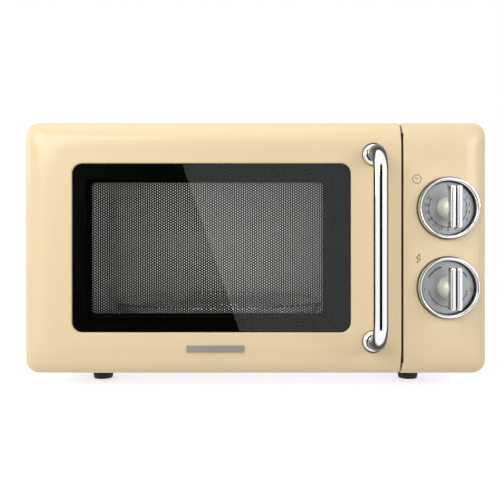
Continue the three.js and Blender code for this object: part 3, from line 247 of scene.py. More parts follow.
def add_relief(tree, height, strength, distance):
    """A bump node that feeds the shader."""
    relief = tree.nodes.new("ShaderNodeBump")
    set_inputs(relief, {"Strength": strength, "Distance": distance})
    tree.links.new(height, relief.inputs["Height"])
    tree.links.new(relief.outputs["Normal"], tree.nodes["Principled BSDF"].inputs["Normal"])
    return relief


def finish(name, colour, roughness, metallic=0.0, shade=0.92, spread=0.05, grain=1400,
           stretch=(1, 1, 1), bump=0.05, coat=0.0, edge_highlight=0.0):
    """A material whose colour, roughness and surface vary: shade is how dark its cloudy patches are,
    spread its range of roughness, bump its fine relief and the edge weight a painted highlight: how much
    lighter its sharp edges are."""
    material, shader = new_material(name)
    tree = material.node_tree
    set_inputs(shader, {"Metallic": metallic, "Coat Weight": coat, "Coat Roughness": 0.08})
    texture = add_grain(tree, stretch, grain)
    clouds = remap(tree, texture.outputs["Broad"], 0.3, 0.55)
    tone = colour_mix(tree, clouds, tuple(part * shade for part in colour), colour)
    tone.node.name = "tone"
    # Painted highlight: sharp edges, found by their pointiness, are made lighter, as if they caught the
    # light.
    if edge_highlight:
        edges = tree.nodes.new("ShaderNodeNewGeometry")
        painted_highlight_mask = remap(tree, edges.outputs["Pointiness"], 0.51, 0.6, 0, edge_highlight)
        tone = colour_mix(tree, painted_highlight_mask, tone, tuple(min(1, part * 1.25 + 0.04) for part in colour))
    tree.links.new(tone, shader.inputs["Base Color"])
    smoothest = max(0.02, roughness - spread)
    rub = remap(tree, texture.outputs["Fine"], 0.25, 0.75, smoothest, roughness + spread)
    tree.links.new(rub, shader.inputs["Roughness"])
    add_relief(tree, texture.outputs["Fine"], bump, 0.0004).name = "relief"
    return material


def settle(piece, body, slot, material, *replaced):
    """The last steps of a piece: its finish, its body and the CAD nodes that it stands for."""
    piece.data.materials.clear()
    piece.data.materials.append(material)
    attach(piece, body)
    if replaced:
        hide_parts(*replaced)


def make_active(piece):
    bpy.ops.object.select_all(action="DESELECT")
    piece.select_set(True)
    bpy.context.view_layer.objects.active = piece


def fix_place(name):
    """Names the active object and moves its place, turn and scale into its mesh."""
    piece = bpy.context.object
    piece.name = name
    bpy.ops.object.transform_apply(location=True, rotation=True, scale=True)
    return piece


def open_mesh():
    """Opens the active mesh with all of it selected."""
    bpy.ops.object.mode_set(mode="EDIT")
    bpy.ops.mesh.select_all(action="SELECT")


def close_mesh():
    """Turns every face outwards and closes the mesh."""
    bpy.ops.mesh.select_all(action="SELECT")
    bpy.ops.mesh.normals_make_consistent(inside=False)
    bpy.ops.object.mode_set(mode="OBJECT")


def extrude(x, y, z):
    bpy.ops.mesh.extrude_region_move(TRANSFORM_OT_translate={"value": (x, y, z)})


def pick(piece, kind, wanted):
    """In edit mode, selects the edges whose two ends pass a test, or the faces whose centre and normal
    pass it, and nothing else."""
    bpy.ops.mesh.select_mode(type=kind)
    bpy.ops.mesh.select_all(action="DESELECT")
    mesh = bmesh.from_edit_mesh(piece.data)
    if kind == "EDGE":
        parts = [(edge, edge.verts[0].co, edge.verts[1].co) for edge in mesh.edges]
    else:
        parts = [(face, face.calc_center_median(), face.normal) for face in mesh.faces]
    for part, first, second in parts:
        if wanted(first, second):
            part.select_set(True)
    bmesh.update_edit_mesh(piece.data)


def drop_faces(piece, wanted):
    """Deletes the faces that pass a test."""
    make_active(piece)
    bpy.ops.object.mode_set(mode="EDIT")
    pick(piece, "FACE", wanted)
    bpy.ops.mesh.delete(type="FACE")
    bpy.ops.object.mode_set(mode="OBJECT")


def ease_edges(piece, wanted, radius, steps=3):
    """Rounds the edges that pass a test."""
    make_active(piece)
    bpy.ops.object.mode_set(mode="EDIT")
    pick(piece, "EDGE", wanted)
    bpy.ops.mesh.bevel(offset=radius, segments=steps, affect="EDGES", clamp_overlap=True)
    bpy.ops.object.mode_set(mode="OBJECT")


def thicken(piece, thickness, offset=-1, even=True):
    """Gives a surface its thickness, inwards unless offset says otherwise."""
    wall = piece.modifiers.new("wall", "SOLIDIFY")
    wall.thickness = thickness
    wall.offset = offset
    wall.use_even_offset = even
    bpy.ops.object.modifier_apply(modifier="wall")


def cut(piece, tool, operation="DIFFERENCE"):
    """Applies one solid to another with an exact boolean and removes the tool."""
    make_active(piece)
    change = piece.modifiers.new("cut", "BOOLEAN")
    change.operation = operation
    change.solver = "EXACT"
    change.object = tool
    bpy.ops.object.modifier_apply(modifier="cut")
    bpy.data.objects.remove(tool)


def smooth(piece, angle=35):
    """Smooth shading with sharp edges kept, and flat faces that stay flat beside their bevels."""
    make_active(piece)
    bpy.ops.object.shade_smooth_by_angle(angle=math.radians(angle))
    weighted = piece.modifiers.new("flats", "WEIGHTED_NORMAL")
    weighted.keep_sharp = True
    bpy.ops.object.modifier_apply(modifier="flats")


def rounded_plate(name, x, z, width, height, radius, back, thickness, steps=8, crown=()):
    """A plate with round corners, seen from the front, that rises from back towards the viewer. A crown
    carries it on through rings, each (inset, depth) with depth falling to 0 at the face."""
    bpy.ops.mesh.primitive_plane_add(size=1, location=(x, back, z), rotation=facing_front)
    bpy.context.object.scale = (width, height, 1)
    plate = fix_place(name)
    open_mesh()
    bpy.ops.mesh.bevel(offset=radius, segments=steps, affect="VERTICES")
    bpy.ops.mesh.select_all(action="SELECT")
    extrude(0, -thickness, 0)
    for (inset, depth), (new_inset, new_depth) in zip(crown, crown[1:]):
        extrude(0, new_depth - depth, 0)
        grow_x = (width - 2 * new_inset) / (width - 2 * inset)
        grow_z = (height - 2 * new_inset) / (height - 2 * inset)
        bpy.ops.transform.resize(value=(grow_x, 1, grow_z), center_override=(x, front, z))
    close_mesh()
    return plate


def solid_box(name, low, high):
    size = [high[i] - low[i] for i in range(3)]
    bpy.ops.mesh.primitive_cube_add(size=1, location=centre_of(low, high), scale=size)
    return fix_place(name)


def front_slab(name):
    """The whole crowned front, as wide as the oven."""
    left, right = door_low.x, panel_high.x
    crown = []
    for step in range(crown_steps + 1):
        angle = step / crown_steps * math.pi / 2
        crown.append((crown_width * (1 - math.cos(angle)), crown_depth * (1 - math.sin(angle))))
    return rounded_plate(
        name, (left + right) / 2, middle, right - left, door_high.z - door_low.z,
        corner_radius, moulding_back, moulding_depth - crown_depth, 12, crown,
    )


def cut_across(slab, x, keep_left):
    """Cuts the slab at x, closes the cut and keeps one side."""
    make_active(slab)
    open_mesh()
    bpy.ops.mesh.bisect(
        plane_co=(x, 0, 0),
        plane_no=(1, 0, 0),
        use_fill=True,
        clear_outer=keep_left,
        clear_inner=not keep_left,
    )
    bpy.ops.object.mode_set(mode="OBJECT")


def hollow(slab):
    """Opens the back of a moulding and gives it its wall."""
    drop_faces(slab, lambda centre, normal: normal.y > 0.99 and centre.y > moulding_back - 1e-4)
    thicken(slab, skin)


# The cream gloss carries a painted highlight: its sharp edges are lighter.
cream_gloss = finish(
    "cream_gloss", cream, 0.34, shade=0.975, spread=0.05, grain=2600, bump=0.035, coat=0.35, edge_highlight=0.35
)
door = front_slab("door_moulding")
cut_across(door, door_high.x, True)
margin = 0.05
hinge_round = 0.008
swing_block = solid_box(
    "swing_block",
    (door_low.x - 0.00002, front - margin, door_low.z - margin),
    (door_high.x + margin, moulding_back + 0.00002, door_high.z + margin),
)
ease_edges(
    swing_block,
    lambda a, b: max(a.x, b.x) < door_low.x and min(a.y, b.y) > moulding_back,
    hinge_round,
    10,
)
cut(door, swing_block, "INTERSECT")
hollow(door)

glass_low, glass_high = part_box("door_glass")
glass_x = centre_of(glass_low, glass_high)[0]
glass_width = glass_high.x - glass_low.x
glass_height = glass_high.z - glass_low.z
glass_radius = 0.0097
gap = 0.0003
opening = rounded_plate(
    "glass_opening", glass_x, middle, glass_width + 2 * gap, glass_height + 2 * gap,
    glass_radius + gap, front + 0.006, 0.012, 12,
)
cut(door, opening)

# The hinge tongues swing through a slot in the hinge edge, above and below.
pivot_x = door_low.x + hinge_round
pivot_y = moulding_back - hinge_round
tongue_reach = 0.013
slot_height = 0.0032
slot_shift = slot_height / 2 - 0.0006
for tongue in ("hinge_upper", "hinge_lower"):
    tongue_low, tongue_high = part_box(tongue)
    upper = tongue_high.z > middle
    slot_z = tongue_high.z - slot_shift if upper else tongue_low.z + slot_shift
    bpy.ops.mesh.primitive_cylinder_add(
        radius=tongue_reach, depth=slot_height, vertices=64, location=(pivot_x, pivot_y, slot_z)
    )
    sweep = fix_place("tongue_sweep")
    rear_half = solid_box(
        "rear_half",
        (door_low.x - 0.01, pivot_y - 0.009, slot_z - 0.01),
        (pivot_x + 0.02, pivot_y + 0.03, slot_z + 0.01),
    )
    cut(sweep, rear_half, "INTERSECT")
    cut(door, sweep)


def on_opening_edge(a, b):
    in_width = abs(a.x - glass_x) < glass_width / 2 + 0.001
    in_height = abs(a.z - middle) < glass_height / 2 + 0.001
    return in_width and in_height and max(abs(a.y - front), abs(b.y - front)) < hair


def on_cut_edge(a, b, x):
    inner = min(a.y, b.y) > moulding_back - 1e-4
    return max(abs(a.x - x), abs(b.x - x)) < hair and not inner


ease_edges(door, on_opening_edge, opening_round)
ease_edges(door, lambda a, b: on_cut_edge(a, b, door_high.x), cut_round)
smooth(door)
settle(door, "door", "cream_gloss", cream_gloss, "door_frame")


# ---- Door window ----
# A sheet of tempered glass set just below the face. A black border is fired onto its back, and the rest
# is clear, so that the perforated screen shows behind it.
def glass_finish(name, colour, roughness):
    """Glass with faint wipe marks in its roughness."""
    material, shader = new_material(name)
    set_inputs(shader, {"Base Color": (*colour, 1), "Transmission Weight": 1, "IOR": 1.5})
    tree = material.node_tree
    texture = add_grain(tree, (1, 1, 5), 60)
    wipes = remap(tree, texture.outputs["Fine"], 0.4, 0.8, roughness, roughness + 0.004)
    tree.links.new(wipes, shader.inputs["Roughness"])
    return material


def dull(material, level):
    """Takes most of the gloss off a black finish."""
    material.node_tree.nodes["Principled BSDF"].inputs["Specular IOR Level"].default_value = level


def ease_front(piece, y, radius, steps):
    """Rounds the edges of the face that lies at y and looks forward."""
    ease_edges(piece, lambda a, b: max(a.y, b.y) < y + hair, radius, steps)


window_glass = glass_finish("window_glass", (0.96, 0.975, 0.97), 0.0)
glass = rounded_plate(
    "window_pane", glass_x, middle, glass_width, glass_height,
    glass_radius, glass_high.y, glass_high.y - glass_low.y, 12,
)
ease_front(glass, glass_low.y, 0.0004, 2)
smooth(glass)
settle(glass, "door", "window_glass", window_glass, "door_glass")

black_print = finish("window_print", (0.0015, 0.0015, 0.0018), 0.35, spread=0.08, grain=900, bump=0.02)
dull(black_print, 0.06)
screen_x = glass_x - 0.005
screen_width = 0.228
screen_height = 0.129
under_frame = 0.006
border = rounded_plate(
    "window_border", glass_x, middle, glass_width + under_frame, glass_height + under_frame,
    glass_radius, glass_high.y + 0.0007, 0.0005,
)
clear_area = rounded_plate(
    "clear_area", screen_x, middle, screen_width + 0.005, screen_height + 0.005,
    0.004, glass_high.y + 0.002, 0.004,
)
cut(border, clear_area)
settle(border, "door", "black_steel", black_print)

# A plane of light that only the glass mirrors, with a slanting left edge.
slant_top = (-0.207, 0.382)
slant_low = (-0.044, -0.095)
slant = math.atan2(slant_low[0] - slant_top[0], slant_top[1] - slant_low[1])
slant_length, slant_width = 1.3, 0.62
window_light_strength = 0.46
half = slant_width / 2
mirror_x = (slant_top[0] + slant_low[0]) / 2 + half * math.cos(slant)
mirror_z = (slant_top[1] + slant_low[1]) / 2 + half * math.sin(slant)
bpy.ops.object.light_add(
    type="AREA", location=(mirror_x, front - 1.19, mirror_z), rotation=(math.radians(90), -slant, 0)
)
window_light = bpy.context.object
window_light.name = "window_light"
window_light.data.shape = "RECTANGLE"
window_light.data.size = slant_width
window_light.data.size_y = slant_length
window_light.data.energy = window_light_strength * math.pi * slant_width * slant_length
panes = bpy.data.collections.new("window_panes")
panes.objects.link(glass)
window_light.light_linking.receiver_collection = panes


# ---- Door screen ----
# A sheet of black enamelled steel, 0.5 mm thick, with round holes in a honeycomb pattern that hold the
# waves in. It is welded behind the opening of the door's steel pan.
hole_pitch = 0.00256
hole_radius = 0.00062
screen_thickness = 0.0005
weld = 0.00002
column_step = hole_pitch * math.sqrt(3) / 2
columns = round(screen_width / column_step / 2) + 1
rows = round(screen_height / hole_pitch) + 1
screen_y = centre_of(*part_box("window_screen"))[1]
start_x = screen_x - (2 * columns - 1) * column_step / 2
start_z = middle - (rows - 0.5) * hole_pitch / 2


def repeat(piece, count, step, merge=0.0):
    """Sets out count copies of the mesh along step. Points nearer than merge become one."""
    row = piece.modifiers.new("row", "ARRAY")
    row.use_relative_offset = False
    row.use_constant_offset = True
    row.constant_offset_displace = step
    row.count = count
    row.use_merge_vertices = merge > 0
    row.merge_threshold = merge
    bpy.ops.object.modifier_apply(modifier="row")


bpy.ops.mesh.primitive_circle_add(
    vertices=6,
    radius=hole_pitch / math.sqrt(3),
    fill_type="NGON",
    location=(start_x, screen_y, start_z),
    rotation=(math.radians(90), math.radians(30), 0),
)
screen = fix_place("perforated_screen")
open_mesh()
bpy.ops.mesh.inset(thickness=hole_pitch / 2 - hole_radius * math.cos(math.radians(30)))
bpy.ops.mesh.delete(type="FACE")
bpy.ops.mesh.select_all(action="SELECT")
bpy.ops.mesh.duplicate_move(TRANSFORM_OT_translate={"value": (column_step, 0, hole_pitch / 2)})
bpy.ops.object.mode_set(mode="OBJECT")
repeat(screen, columns, (2 * column_step, 0, 0), weld)
repeat(screen, rows, (0, 0, hole_pitch), weld)
open_mesh()
bpy.ops.mesh.remove_doubles(threshold=weld)
bpy.ops.object.mode_set(mode="OBJECT")
thicken(screen, screen_thickness, 0, even=False)
black_enamel = finish("black_enamel", (0.004, 0.004, 0.0045), 0.42, spread=0.08, grain=1800, bump=0.06)
dull(black_enamel, 0.15)
settle(screen, "door", "black_steel", black_enamel, "window_screen")


def dress(material, *names):
    """Gives a finish to CAD nodes whose shape is right as it is."""
    for name in names:
        for place in nodes[name].material_slots:
            place.material = material


# The steel pan, the clear inner sheet and the black cover over the choke keep their CAD shapes.
choke_plastic = finish(
    "choke_plastic", (0.018, 0.018, 0.02), 0.5, shade=0.8, spread=0.1, grain=1100, bump=0.12
)
inner_sheet = glass_finish("inner_sheet", (0.97, 0.98, 0.98), 0.01)
dress(black_enamel, "door_pan")
dress(inner_sheet, "inner_window")
dress(choke_plastic, "choke_cover")


# ---- Handle ----
# A polished chrome tube, 13 mm across, bent twice and screwed to the door through two turned rosettes.
# Its metal colour is painted darker where it faces away from the eye: painted shade that stands in for
# dark reflections at its rims.
def darken_rims(material, colour):
    """Paints a darker colour into polished metal where it turns away from the eye: painted shade at its
    rims.
    """
    tree = material.node_tree
    facing = tree.nodes.new("ShaderNodeLayerWeight")
    set_inputs(facing, {"Blend": 0.5})
    # Painted shade: this mask darkens the colour towards the rims, where the surface faces away.
    rim = remap(tree, facing.outputs["Facing"], 0.34, 0.46)
    shaded = colour_mix(tree, rim, tree.nodes["tone"].outputs[2], colour)
    tree.links.new(shaded, tree.nodes["Principled BSDF"].inputs["Base Color"])
    return material


def polished(name, roughness):
    """Bright chrome plating."""
    chrome_white = (0.95, 0.955, 0.96)
    return finish(name, chrome_white, roughness, 1.0, shade=0.97, spread=0.03, grain=700, bump=0.008)


# The chrome carries painted shade: its colour darkens towards its rims.
chrome = darken_rims(polished("chrome", 0.06), (0.03, 0.03, 0.032))
bar_low, bar_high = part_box("handle_bar")
bar_x = centre_of(bar_low, bar_high)[0]
bar_radius = (bar_high.x - bar_low.x) / 2
bar_bend = 0.022
line_y = bar_low.y + bar_radius
leg_high = bar_high.z - bar_radius
leg_low = bar_low.z + bar_radius
bend_y = line_y + bar_bend
bpy.ops.mesh.primitive_circle_add(
    vertices=40,
    radius=bar_radius,
    fill_type="NOTHING",
    location=(bar_x, bar_high.y, leg_high),
    rotation=facing_front,
)
handle = fix_place("handle_tube")
open_mesh()
extrude(0, bend_y - bar_high.y, 0)
quarter = {"steps": 16, "angle": -math.pi / 2, "axis": (1, 0, 0)}
bpy.ops.mesh.spin(center=(bar_x, bend_y, leg_high - bar_bend), **quarter)
extrude(0, 0, -(leg_high - leg_low - 2 * bar_bend))
bpy.ops.mesh.spin(center=(bar_x, bend_y, leg_low + bar_bend), **quarter)
extrude(0, bar_high.y - bend_y, 0)
bpy.ops.mesh.select_all(action="SELECT")
bpy.ops.mesh.remove_doubles(threshold=hair)
bpy.ops.mesh.fill_holes(sides=0)
close_mesh()
smooth(handle)
settle(handle, "door", "chrome", chrome, "handle_bar")


def turned(name, place, rings, sides=72, open_middle=False, upright=False, angle=35):
    """A turned piece. Its axis runs front to back through place, an (x, z), or upright through an (x, y).
    Its rings are (radius, distance along the axis), in order along the profile. A piece with an open
    middle joins its last ring to its first. No angle leaves the shading for later."""

    def along(distance):
        return (*place, distance) if upright else (place[0], distance, place[1])

    radius, reach = rings[0]
    bpy.ops.mesh.primitive_circle_add(
        vertices=sides,
        radius=radius,
        fill_type="NOTHING",
        location=along(reach),
        rotation=(0, 0, 0) if upright else facing_front,
    )
    piece = fix_place(name)
    open_mesh()
    for new_radius, new_reach in rings[1:]:
        step, grow = new_reach - reach, new_radius / radius
        extrude(*((0, 0, step) if upright else (0, step, 0)))
        scale = (grow, grow, 1) if upright else (grow, 1, grow)
        bpy.ops.transform.resize(value=scale, center_override=along(new_reach))
        radius, reach = new_radius, new_reach
    if open_middle:
        bpy.ops.mesh.select_all(action="DESELECT")
        bpy.ops.mesh.select_non_manifold()
        bpy.ops.mesh.bridge_edge_loops()
    else:
        bpy.ops.mesh.select_all(action="SELECT")
        bpy.ops.mesh.fill_holes(sides=0)
    close_mesh()
    if angle:
        smooth(piece, angle)
    return piece


for side, leg_z in (("upper", leg_high), ("lower", leg_low)):
    rose_low, rose_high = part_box("handle_rosette_" + side)
    rose = (rose_high.x - rose_low.x) / 2
    base_y, top_y = rose_high.y, rose_low.y
    bore = bar_radius + 0.00025
    profile = [
        (bore, base_y),
        (rose - 0.0002, base_y),
        (rose, base_y - 0.0004),
        (rose, base_y - 0.0016),
        (rose - 0.0005, base_y - 0.0028),
        (rose - 0.0018, top_y + 0.0009),
        (bore + 0.0013, top_y + 0.0001),
        (bore + 0.0005, top_y),
        (bore, top_y + 0.0004),
    ]
    rosette = turned("rosette_" + side, (bar_x, leg_z), profile, open_middle=True)
    settle(rosette, "door", "chrome", chrome, "handle_rosette_" + side)


# ---- Badge ----
# A blank satin plate of brushed metal, with no lettering. It is glued to the door below the window, and
# its corners and front edges are eased.
badge_low, badge_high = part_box("badge_plate")
badge_x, _, badge_z = centre_of(badge_low, badge_high)
badge_metal = finish(
    "badge_metal", (0.50, 0.48, 0.44), 0.48, 1.0,
    shade=0.92, spread=0.06, grain=500, stretch=(1, 1, 14), bump=0.05,
)
badge = rounded_plate(
    "badge_blank", badge_x, badge_z, badge_high.x - badge_low.x, badge_high.z - badge_low.z,
    0.0012, badge_high.y, badge_high.y - badge_low.y,
)
ease_front(badge, badge_low.y, 0.0005, 3)
smooth(badge)
settle(badge, "door", "chrome", badge_metal, "badge_plate")


# ---- Control fascia ----
# The same cream moulding as the door, screwed to the front frame, with two round openings for the
# dials. A black strip along its edge beside the door is painted shade: it stands in for the shadow in the
# gap.
fascia = front_slab("fascia_moulding")
cut_across(fascia, panel_low.x, False)
hollow(fascia)


def drill(piece, x, y, z, radius, sides):
    """Cuts a round hole that runs front to back."""
    bpy.ops.mesh.primitive_cylinder_add(
        radius=radius, depth=0.02, vertices=sides, location=(x, y, z), rotation=facing_front
    )
    cut(piece, fix_place("drill"))


dials = {}
for name in ("timer", "power"):
    bezel_low, bezel_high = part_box(name + "_bezel")
    dial_x, _, dial_z = centre_of(bezel_low, bezel_high)
    dials[name] = (dial_x, dial_z)
    drill(fascia, dial_x, front, dial_z, (bezel_high.x - bezel_low.x) / 2 + gap, 96)
ease_edges(fascia, lambda a, b: on_cut_edge(a, b, panel_low.x), cut_round)
smooth(fascia)
settle(fascia, "cabinet", "cream_gloss", cream_gloss, "control_fascia")

# Painted shade: a black strip set into the gap beside the door, where only shadow falls.
gap_shade_black = finish("gap_shade_black", (0.004, 0.004, 0.004), 0.6, spread=0.1, grain=900, bump=0.1)
shade_strip_reach = moulding_depth - 0.002
strip = solid_box(
    "fascia_gap_shade_strip",
    (panel_low.x - 0.0009, front + 0.0015, door_low.z + 0.012),
    (panel_low.x - 0.0001, front + shade_strip_reach, door_high.z - 0.012),
)
ease_edges(strip, lambda a, b: max(a.x, b.x) < panel_low.x - 0.0008, 0.0003, 2)
smooth(strip)
settle(strip, "cabinet", "dark_plastic", gap_shade_black)


# ---- Bezels, dials and knobs ----
# Each dial is a printed silver plate inside a chromed ring. The knob on it is a chromed moulding: a
# domed satin hub, and on it a bar of two bright ribs with a black line between them for a pointer.
ink_thickness = 0.00006


def bar_mark(length, width):
    """A straight printed line at the origin, along x, in the plane that faces the front."""
    bpy.ops.mesh.primitive_cube_add(size=1, scale=(length, ink_thickness, width))
    return fix_place("mark")


def arc_mark(radius, width, sweep):
    """A printed arc about the origin that starts at +X and runs anticlockwise, seen from the front."""
    bpy.ops.mesh.primitive_plane_add(size=1, location=(radius, 0, 0))
    bpy.context.object.scale = (width, ink_thickness, 1)
    arc = fix_place("mark")
    open_mesh()
    steps = max(4, round(sweep / math.radians(5)))
    bpy.ops.mesh.spin(steps=steps, angle=sweep, center=(0, 0, 0), axis=(0, 1, 0))
    close_mesh()
    return arc


def text_mark(words, height):
    """A printed number at the origin, upright and facing the front."""
    bpy.ops.object.text_add(rotation=facing_front)
    text = bpy.context.object
    text.data.body = words
    text.data.size = height * 1.35
    text.data.align_x = "CENTER"
    text.data.align_y = "CENTER"
    text.data.resolution_u = 3
    text.data.extrude = ink_thickness / 2
    bpy.ops.object.convert(target="MESH")
    return fix_place("mark")


def place_mark(mark, y, place, turn=0.0):
    """Turns a mark anticlockwise, seen from the front, and then moves it to y and its (x, z)."""
    make_active(mark)
    mark.rotation_euler = (0, -turn, 0)
    mark.location = (place[0], y, place[1])
    return fix_place("mark")


def around(centre, radius, angle):
    """The (x, z) at a radius and an angle from a centre, anticlockwise from +X, seen from the front."""
    return centre[0] + radius * math.cos(angle), centre[1] + radius * math.sin(angle)


def join_marks(name, marks):
    bpy.ops.object.select_all(action="DESELECT")
    for mark in marks:
        mark.select_set(True)
    bpy.context.view_layer.objects.active = marks[0]
    bpy.ops.object.join()
    bpy.context.object.name = name
    return bpy.context.object


dial_silver = finish(
    "dial_silver", (0.47, 0.475, 0.49), 0.36, 0.75,
    shade=0.93, spread=0.05, grain=420, stretch=(1, 1, 18), bump=0.03,
)
dial_ink = finish("dial_ink", (0.012, 0.012, 0.013), 0.5, spread=0.08, grain=3000, bump=0.02)
hub_satin = finish(
    "hub_satin", (0.80, 0.79, 0.71), 0.42, 0.55, shade=0.95, spread=0.06, grain=900, bump=0.03
)
bright_chrome = polished("bright_chrome", 0.14)
groove_black = finish("groove_black", (0.006, 0.006, 0.006), 0.4, spread=0.08, grain=1500, bump=0.04)
mark_ring = 0.0208
scale_ring = 0.0184
number_ring = 0.0222
minutes = (1, 2, 3, 4, 5, 6, 8, 10, 15, 20, 25, 30, 35)
first_minute, last_minute = math.radians(29), math.radians(152 - 360)
power_start, power_step, power_ticks = 200, 17.5, 9
shaft_hole = 0.0036
hub_radius = 0.0108
hub_edge = 0.001
bar_depth = 0.0085
grip_side = 0.0053
groove = 0.0006

for name, centre in dials.items():
    dial_x, dial_z = centre
    bezel_low, bezel_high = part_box(name + "_bezel")
    dial_low, dial_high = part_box(name + "_dial")
    knob_low, knob_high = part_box(name + "_knob")
    outer = (bezel_high.x - bezel_low.x) / 2
    face_radius = (dial_high.x - dial_low.x) / 2
    bore = face_radius + gap
    crest = bezel_low.y
    bezel_profile = [
        (bore, bezel_high.y),
        (outer - 0.0004, bezel_high.y),
        (outer - 0.0001, front + 0.0003),
        (outer, front - 0.0006),
        (outer, crest + 0.0026),
        (outer - 0.0003, crest + 0.0013),
        (outer - 0.0010, crest + 0.0003),
        (outer - 0.0019, crest),
        (outer - 0.0030, crest + 0.0002),
        (bore + 0.0006, crest + 0.0010),
        (bore + 0.0001, crest + 0.0022),
    ]
    bezel = turned(name + "_ring", centre, bezel_profile, 96, open_middle=True)
    settle(bezel, "cabinet", "chrome", chrome, name + "_bezel")

    face_y = dial_low.y
    face_profile = [
        (shaft_hole, dial_high.y),
        (face_radius - 0.0002, dial_high.y),
        (face_radius, dial_high.y - 0.0004),
        (face_radius, face_y + 0.0003),
        (face_radius - 0.0003, face_y),
        (shaft_hole, face_y),
    ]
    face = turned(name + "_plate", centre, face_profile, 96, open_middle=True)
    settle(face, "cabinet", "dial_silver", dial_silver, name + "_dial")

    ink_y = face_y - ink_thickness / 2
    marks = []
    if name == "timer":
        for step, minute in enumerate(minutes):
            angle = first_minute + (last_minute - first_minute) * step / (len(minutes) - 1)
            number = text_mark(str(minute), 0.0032)
            marks.append(place_mark(number, ink_y, around(centre, mark_ring, angle)))
            tick = bar_mark(0.0012, 0.0005)
            marks.append(place_mark(tick, ink_y, around(centre, scale_ring - 0.0009, angle), angle))
        marks.append(place_mark(text_mark("0", 0.003), ink_y, (dial_x, dial_z + 0.0214)))
        marks.append(place_mark(bar_mark(0.0018, 0.0005), ink_y, (dial_x, dial_z + 0.0186), math.pi / 2))
        scale_arc = arc_mark(scale_ring, 0.0006, first_minute - last_minute)
        marks.append(place_mark(scale_arc, ink_y, centre, last_minute))
    else:
        for words, degrees in (("1", 185), ("2", 355)):
            spot = around(centre, number_ring, math.radians(degrees))
            marks.append(place_mark(text_mark(words, 0.0034), ink_y, spot))
        for ring, begin, end, width in (
            (mark_ring, 107, 153, 0.0011),
            (mark_ring, 28, 47, 0.0011),
            (scale_ring, 186, 352, 0.0006),
        ):
            arc = arc_mark(ring, width, math.radians(end - begin))
            marks.append(place_mark(arc, ink_y, centre, math.radians(begin)))
        for step in range(power_ticks):
            angle = math.radians(power_start + step * power_step)
            tick = bar_mark(0.0014, 0.0005)
            marks.append(place_mark(tick, ink_y, around(centre, scale_ring + 0.0014, angle), angle))
    settle(join_marks(name + "_scale", marks), "cabinet", "dark_plastic", dial_ink)

    body = name + "_control"
    hub_back = knob_high.y
    bar_back = knob_low.y + bar_depth
    hub_rise = hub_back - hub_edge - bar_back
    hub_profile = [(hub_radius - 0.0003, hub_back), (hub_radius, hub_back - 0.0005)]
    for degrees in range(0, 90, 9):
        bend = math.radians(degrees)
        hub_profile.append(
            (hub_radius * math.cos(bend), hub_back - hub_edge - hub_rise * math.sin(bend))
        )
    hub_profile.append((0.0008, bar_back))
    hub = turned(name + "_hub", centre, hub_profile)
    settle(hub, body, "chrome", hub_satin, name + "_knob")

    grip_half = (knob_high.z - knob_low.z) / 2
    for hand, sign in (("left", -1), ("right", 1)):
        inner_x, outer_x = dial_x + sign * groove, dial_x + sign * grip_side
        rib = solid_box(
            name + "_grip_" + hand,
            (min(inner_x, outer_x), knob_low.y, dial_z - grip_half),
            (max(inner_x, outer_x), bar_back + 0.0015, dial_z + grip_half),
        )
        ease_edges(rib, lambda a, b: abs(a.y - b.y) > 0.005, 0.0021, 6)
        ease_front(rib, knob_low.y, 0.0016, 5)
        smooth(rib, 50)
        settle(rib, body, "chrome", bright_chrome)
    line_front = knob_low.y + 0.003
    line = solid_box(
        name + "_grip_line",
        (dial_x - groove - 0.0008, line_front, dial_z - grip_half + 0.0016),
        (dial_x + groove + 0.0008, bar_back + 0.0012, dial_z + grip_half - 0.0016),
    )
    ease_front(line, line_front, 0.0002, 2)
    smooth(line)
    settle(line, body, "dark_plastic", groove_black)

# Two small printed symbols show what the knobs do: a clock above the timer, a spark above the power.
symbol_y = front - ink_thickness / 2
symbol_ink = finish("symbol_ink", (0.10, 0.075, 0.045), 0.5, spread=0.08, grain=3000, bump=0.02)
line_width = 0.00055


def drawn_line(points, x, z):
    """Printed strokes from point to point, about x and z, on the face of the panel."""
    strokes = []
    for (x1, z1), (x2, z2) in zip(points, points[1:]):
        stroke = bar_mark(math.hypot(x2 - x1, z2 - z1), line_width)
        place = (x + (x1 + x2) / 2, z + (z1 + z2) / 2)
        strokes.append(place_mark(stroke, symbol_y, place, math.atan2(z2 - z1, x2 - x1)))
    return strokes


clock_x, clock_z = dials["timer"][0] - 0.030, dials["timer"][1] + 0.028
clock = [place_mark(arc_mark(0.0041, line_width, math.tau), symbol_y, (clock_x, clock_z))]
clock += drawn_line([(-0.0014, 0.0020), (0, 0), (0.0014, 0.0010)], clock_x, clock_z)
settle(join_marks("timer_symbol", clock), "cabinet", "dark_plastic", symbol_ink)
spark_x, spark_z = dials["power"][0] - 0.0285, dials["power"][1] + 0.028
bolt = [
    (0.0014, 0.0044),
    (-0.0026, 0.0005),
    (-0.0003, 0.0005),
    (-0.0014, -0.0044),
    (0.0026, -0.0005),
    (0.0003, -0.0005),
]
spark = drawn_line(bolt + bolt[:1], spark_x, spark_z)
settle(join_marks("power_symbol", spark), "cabinet", "dark_plastic", symbol_ink)


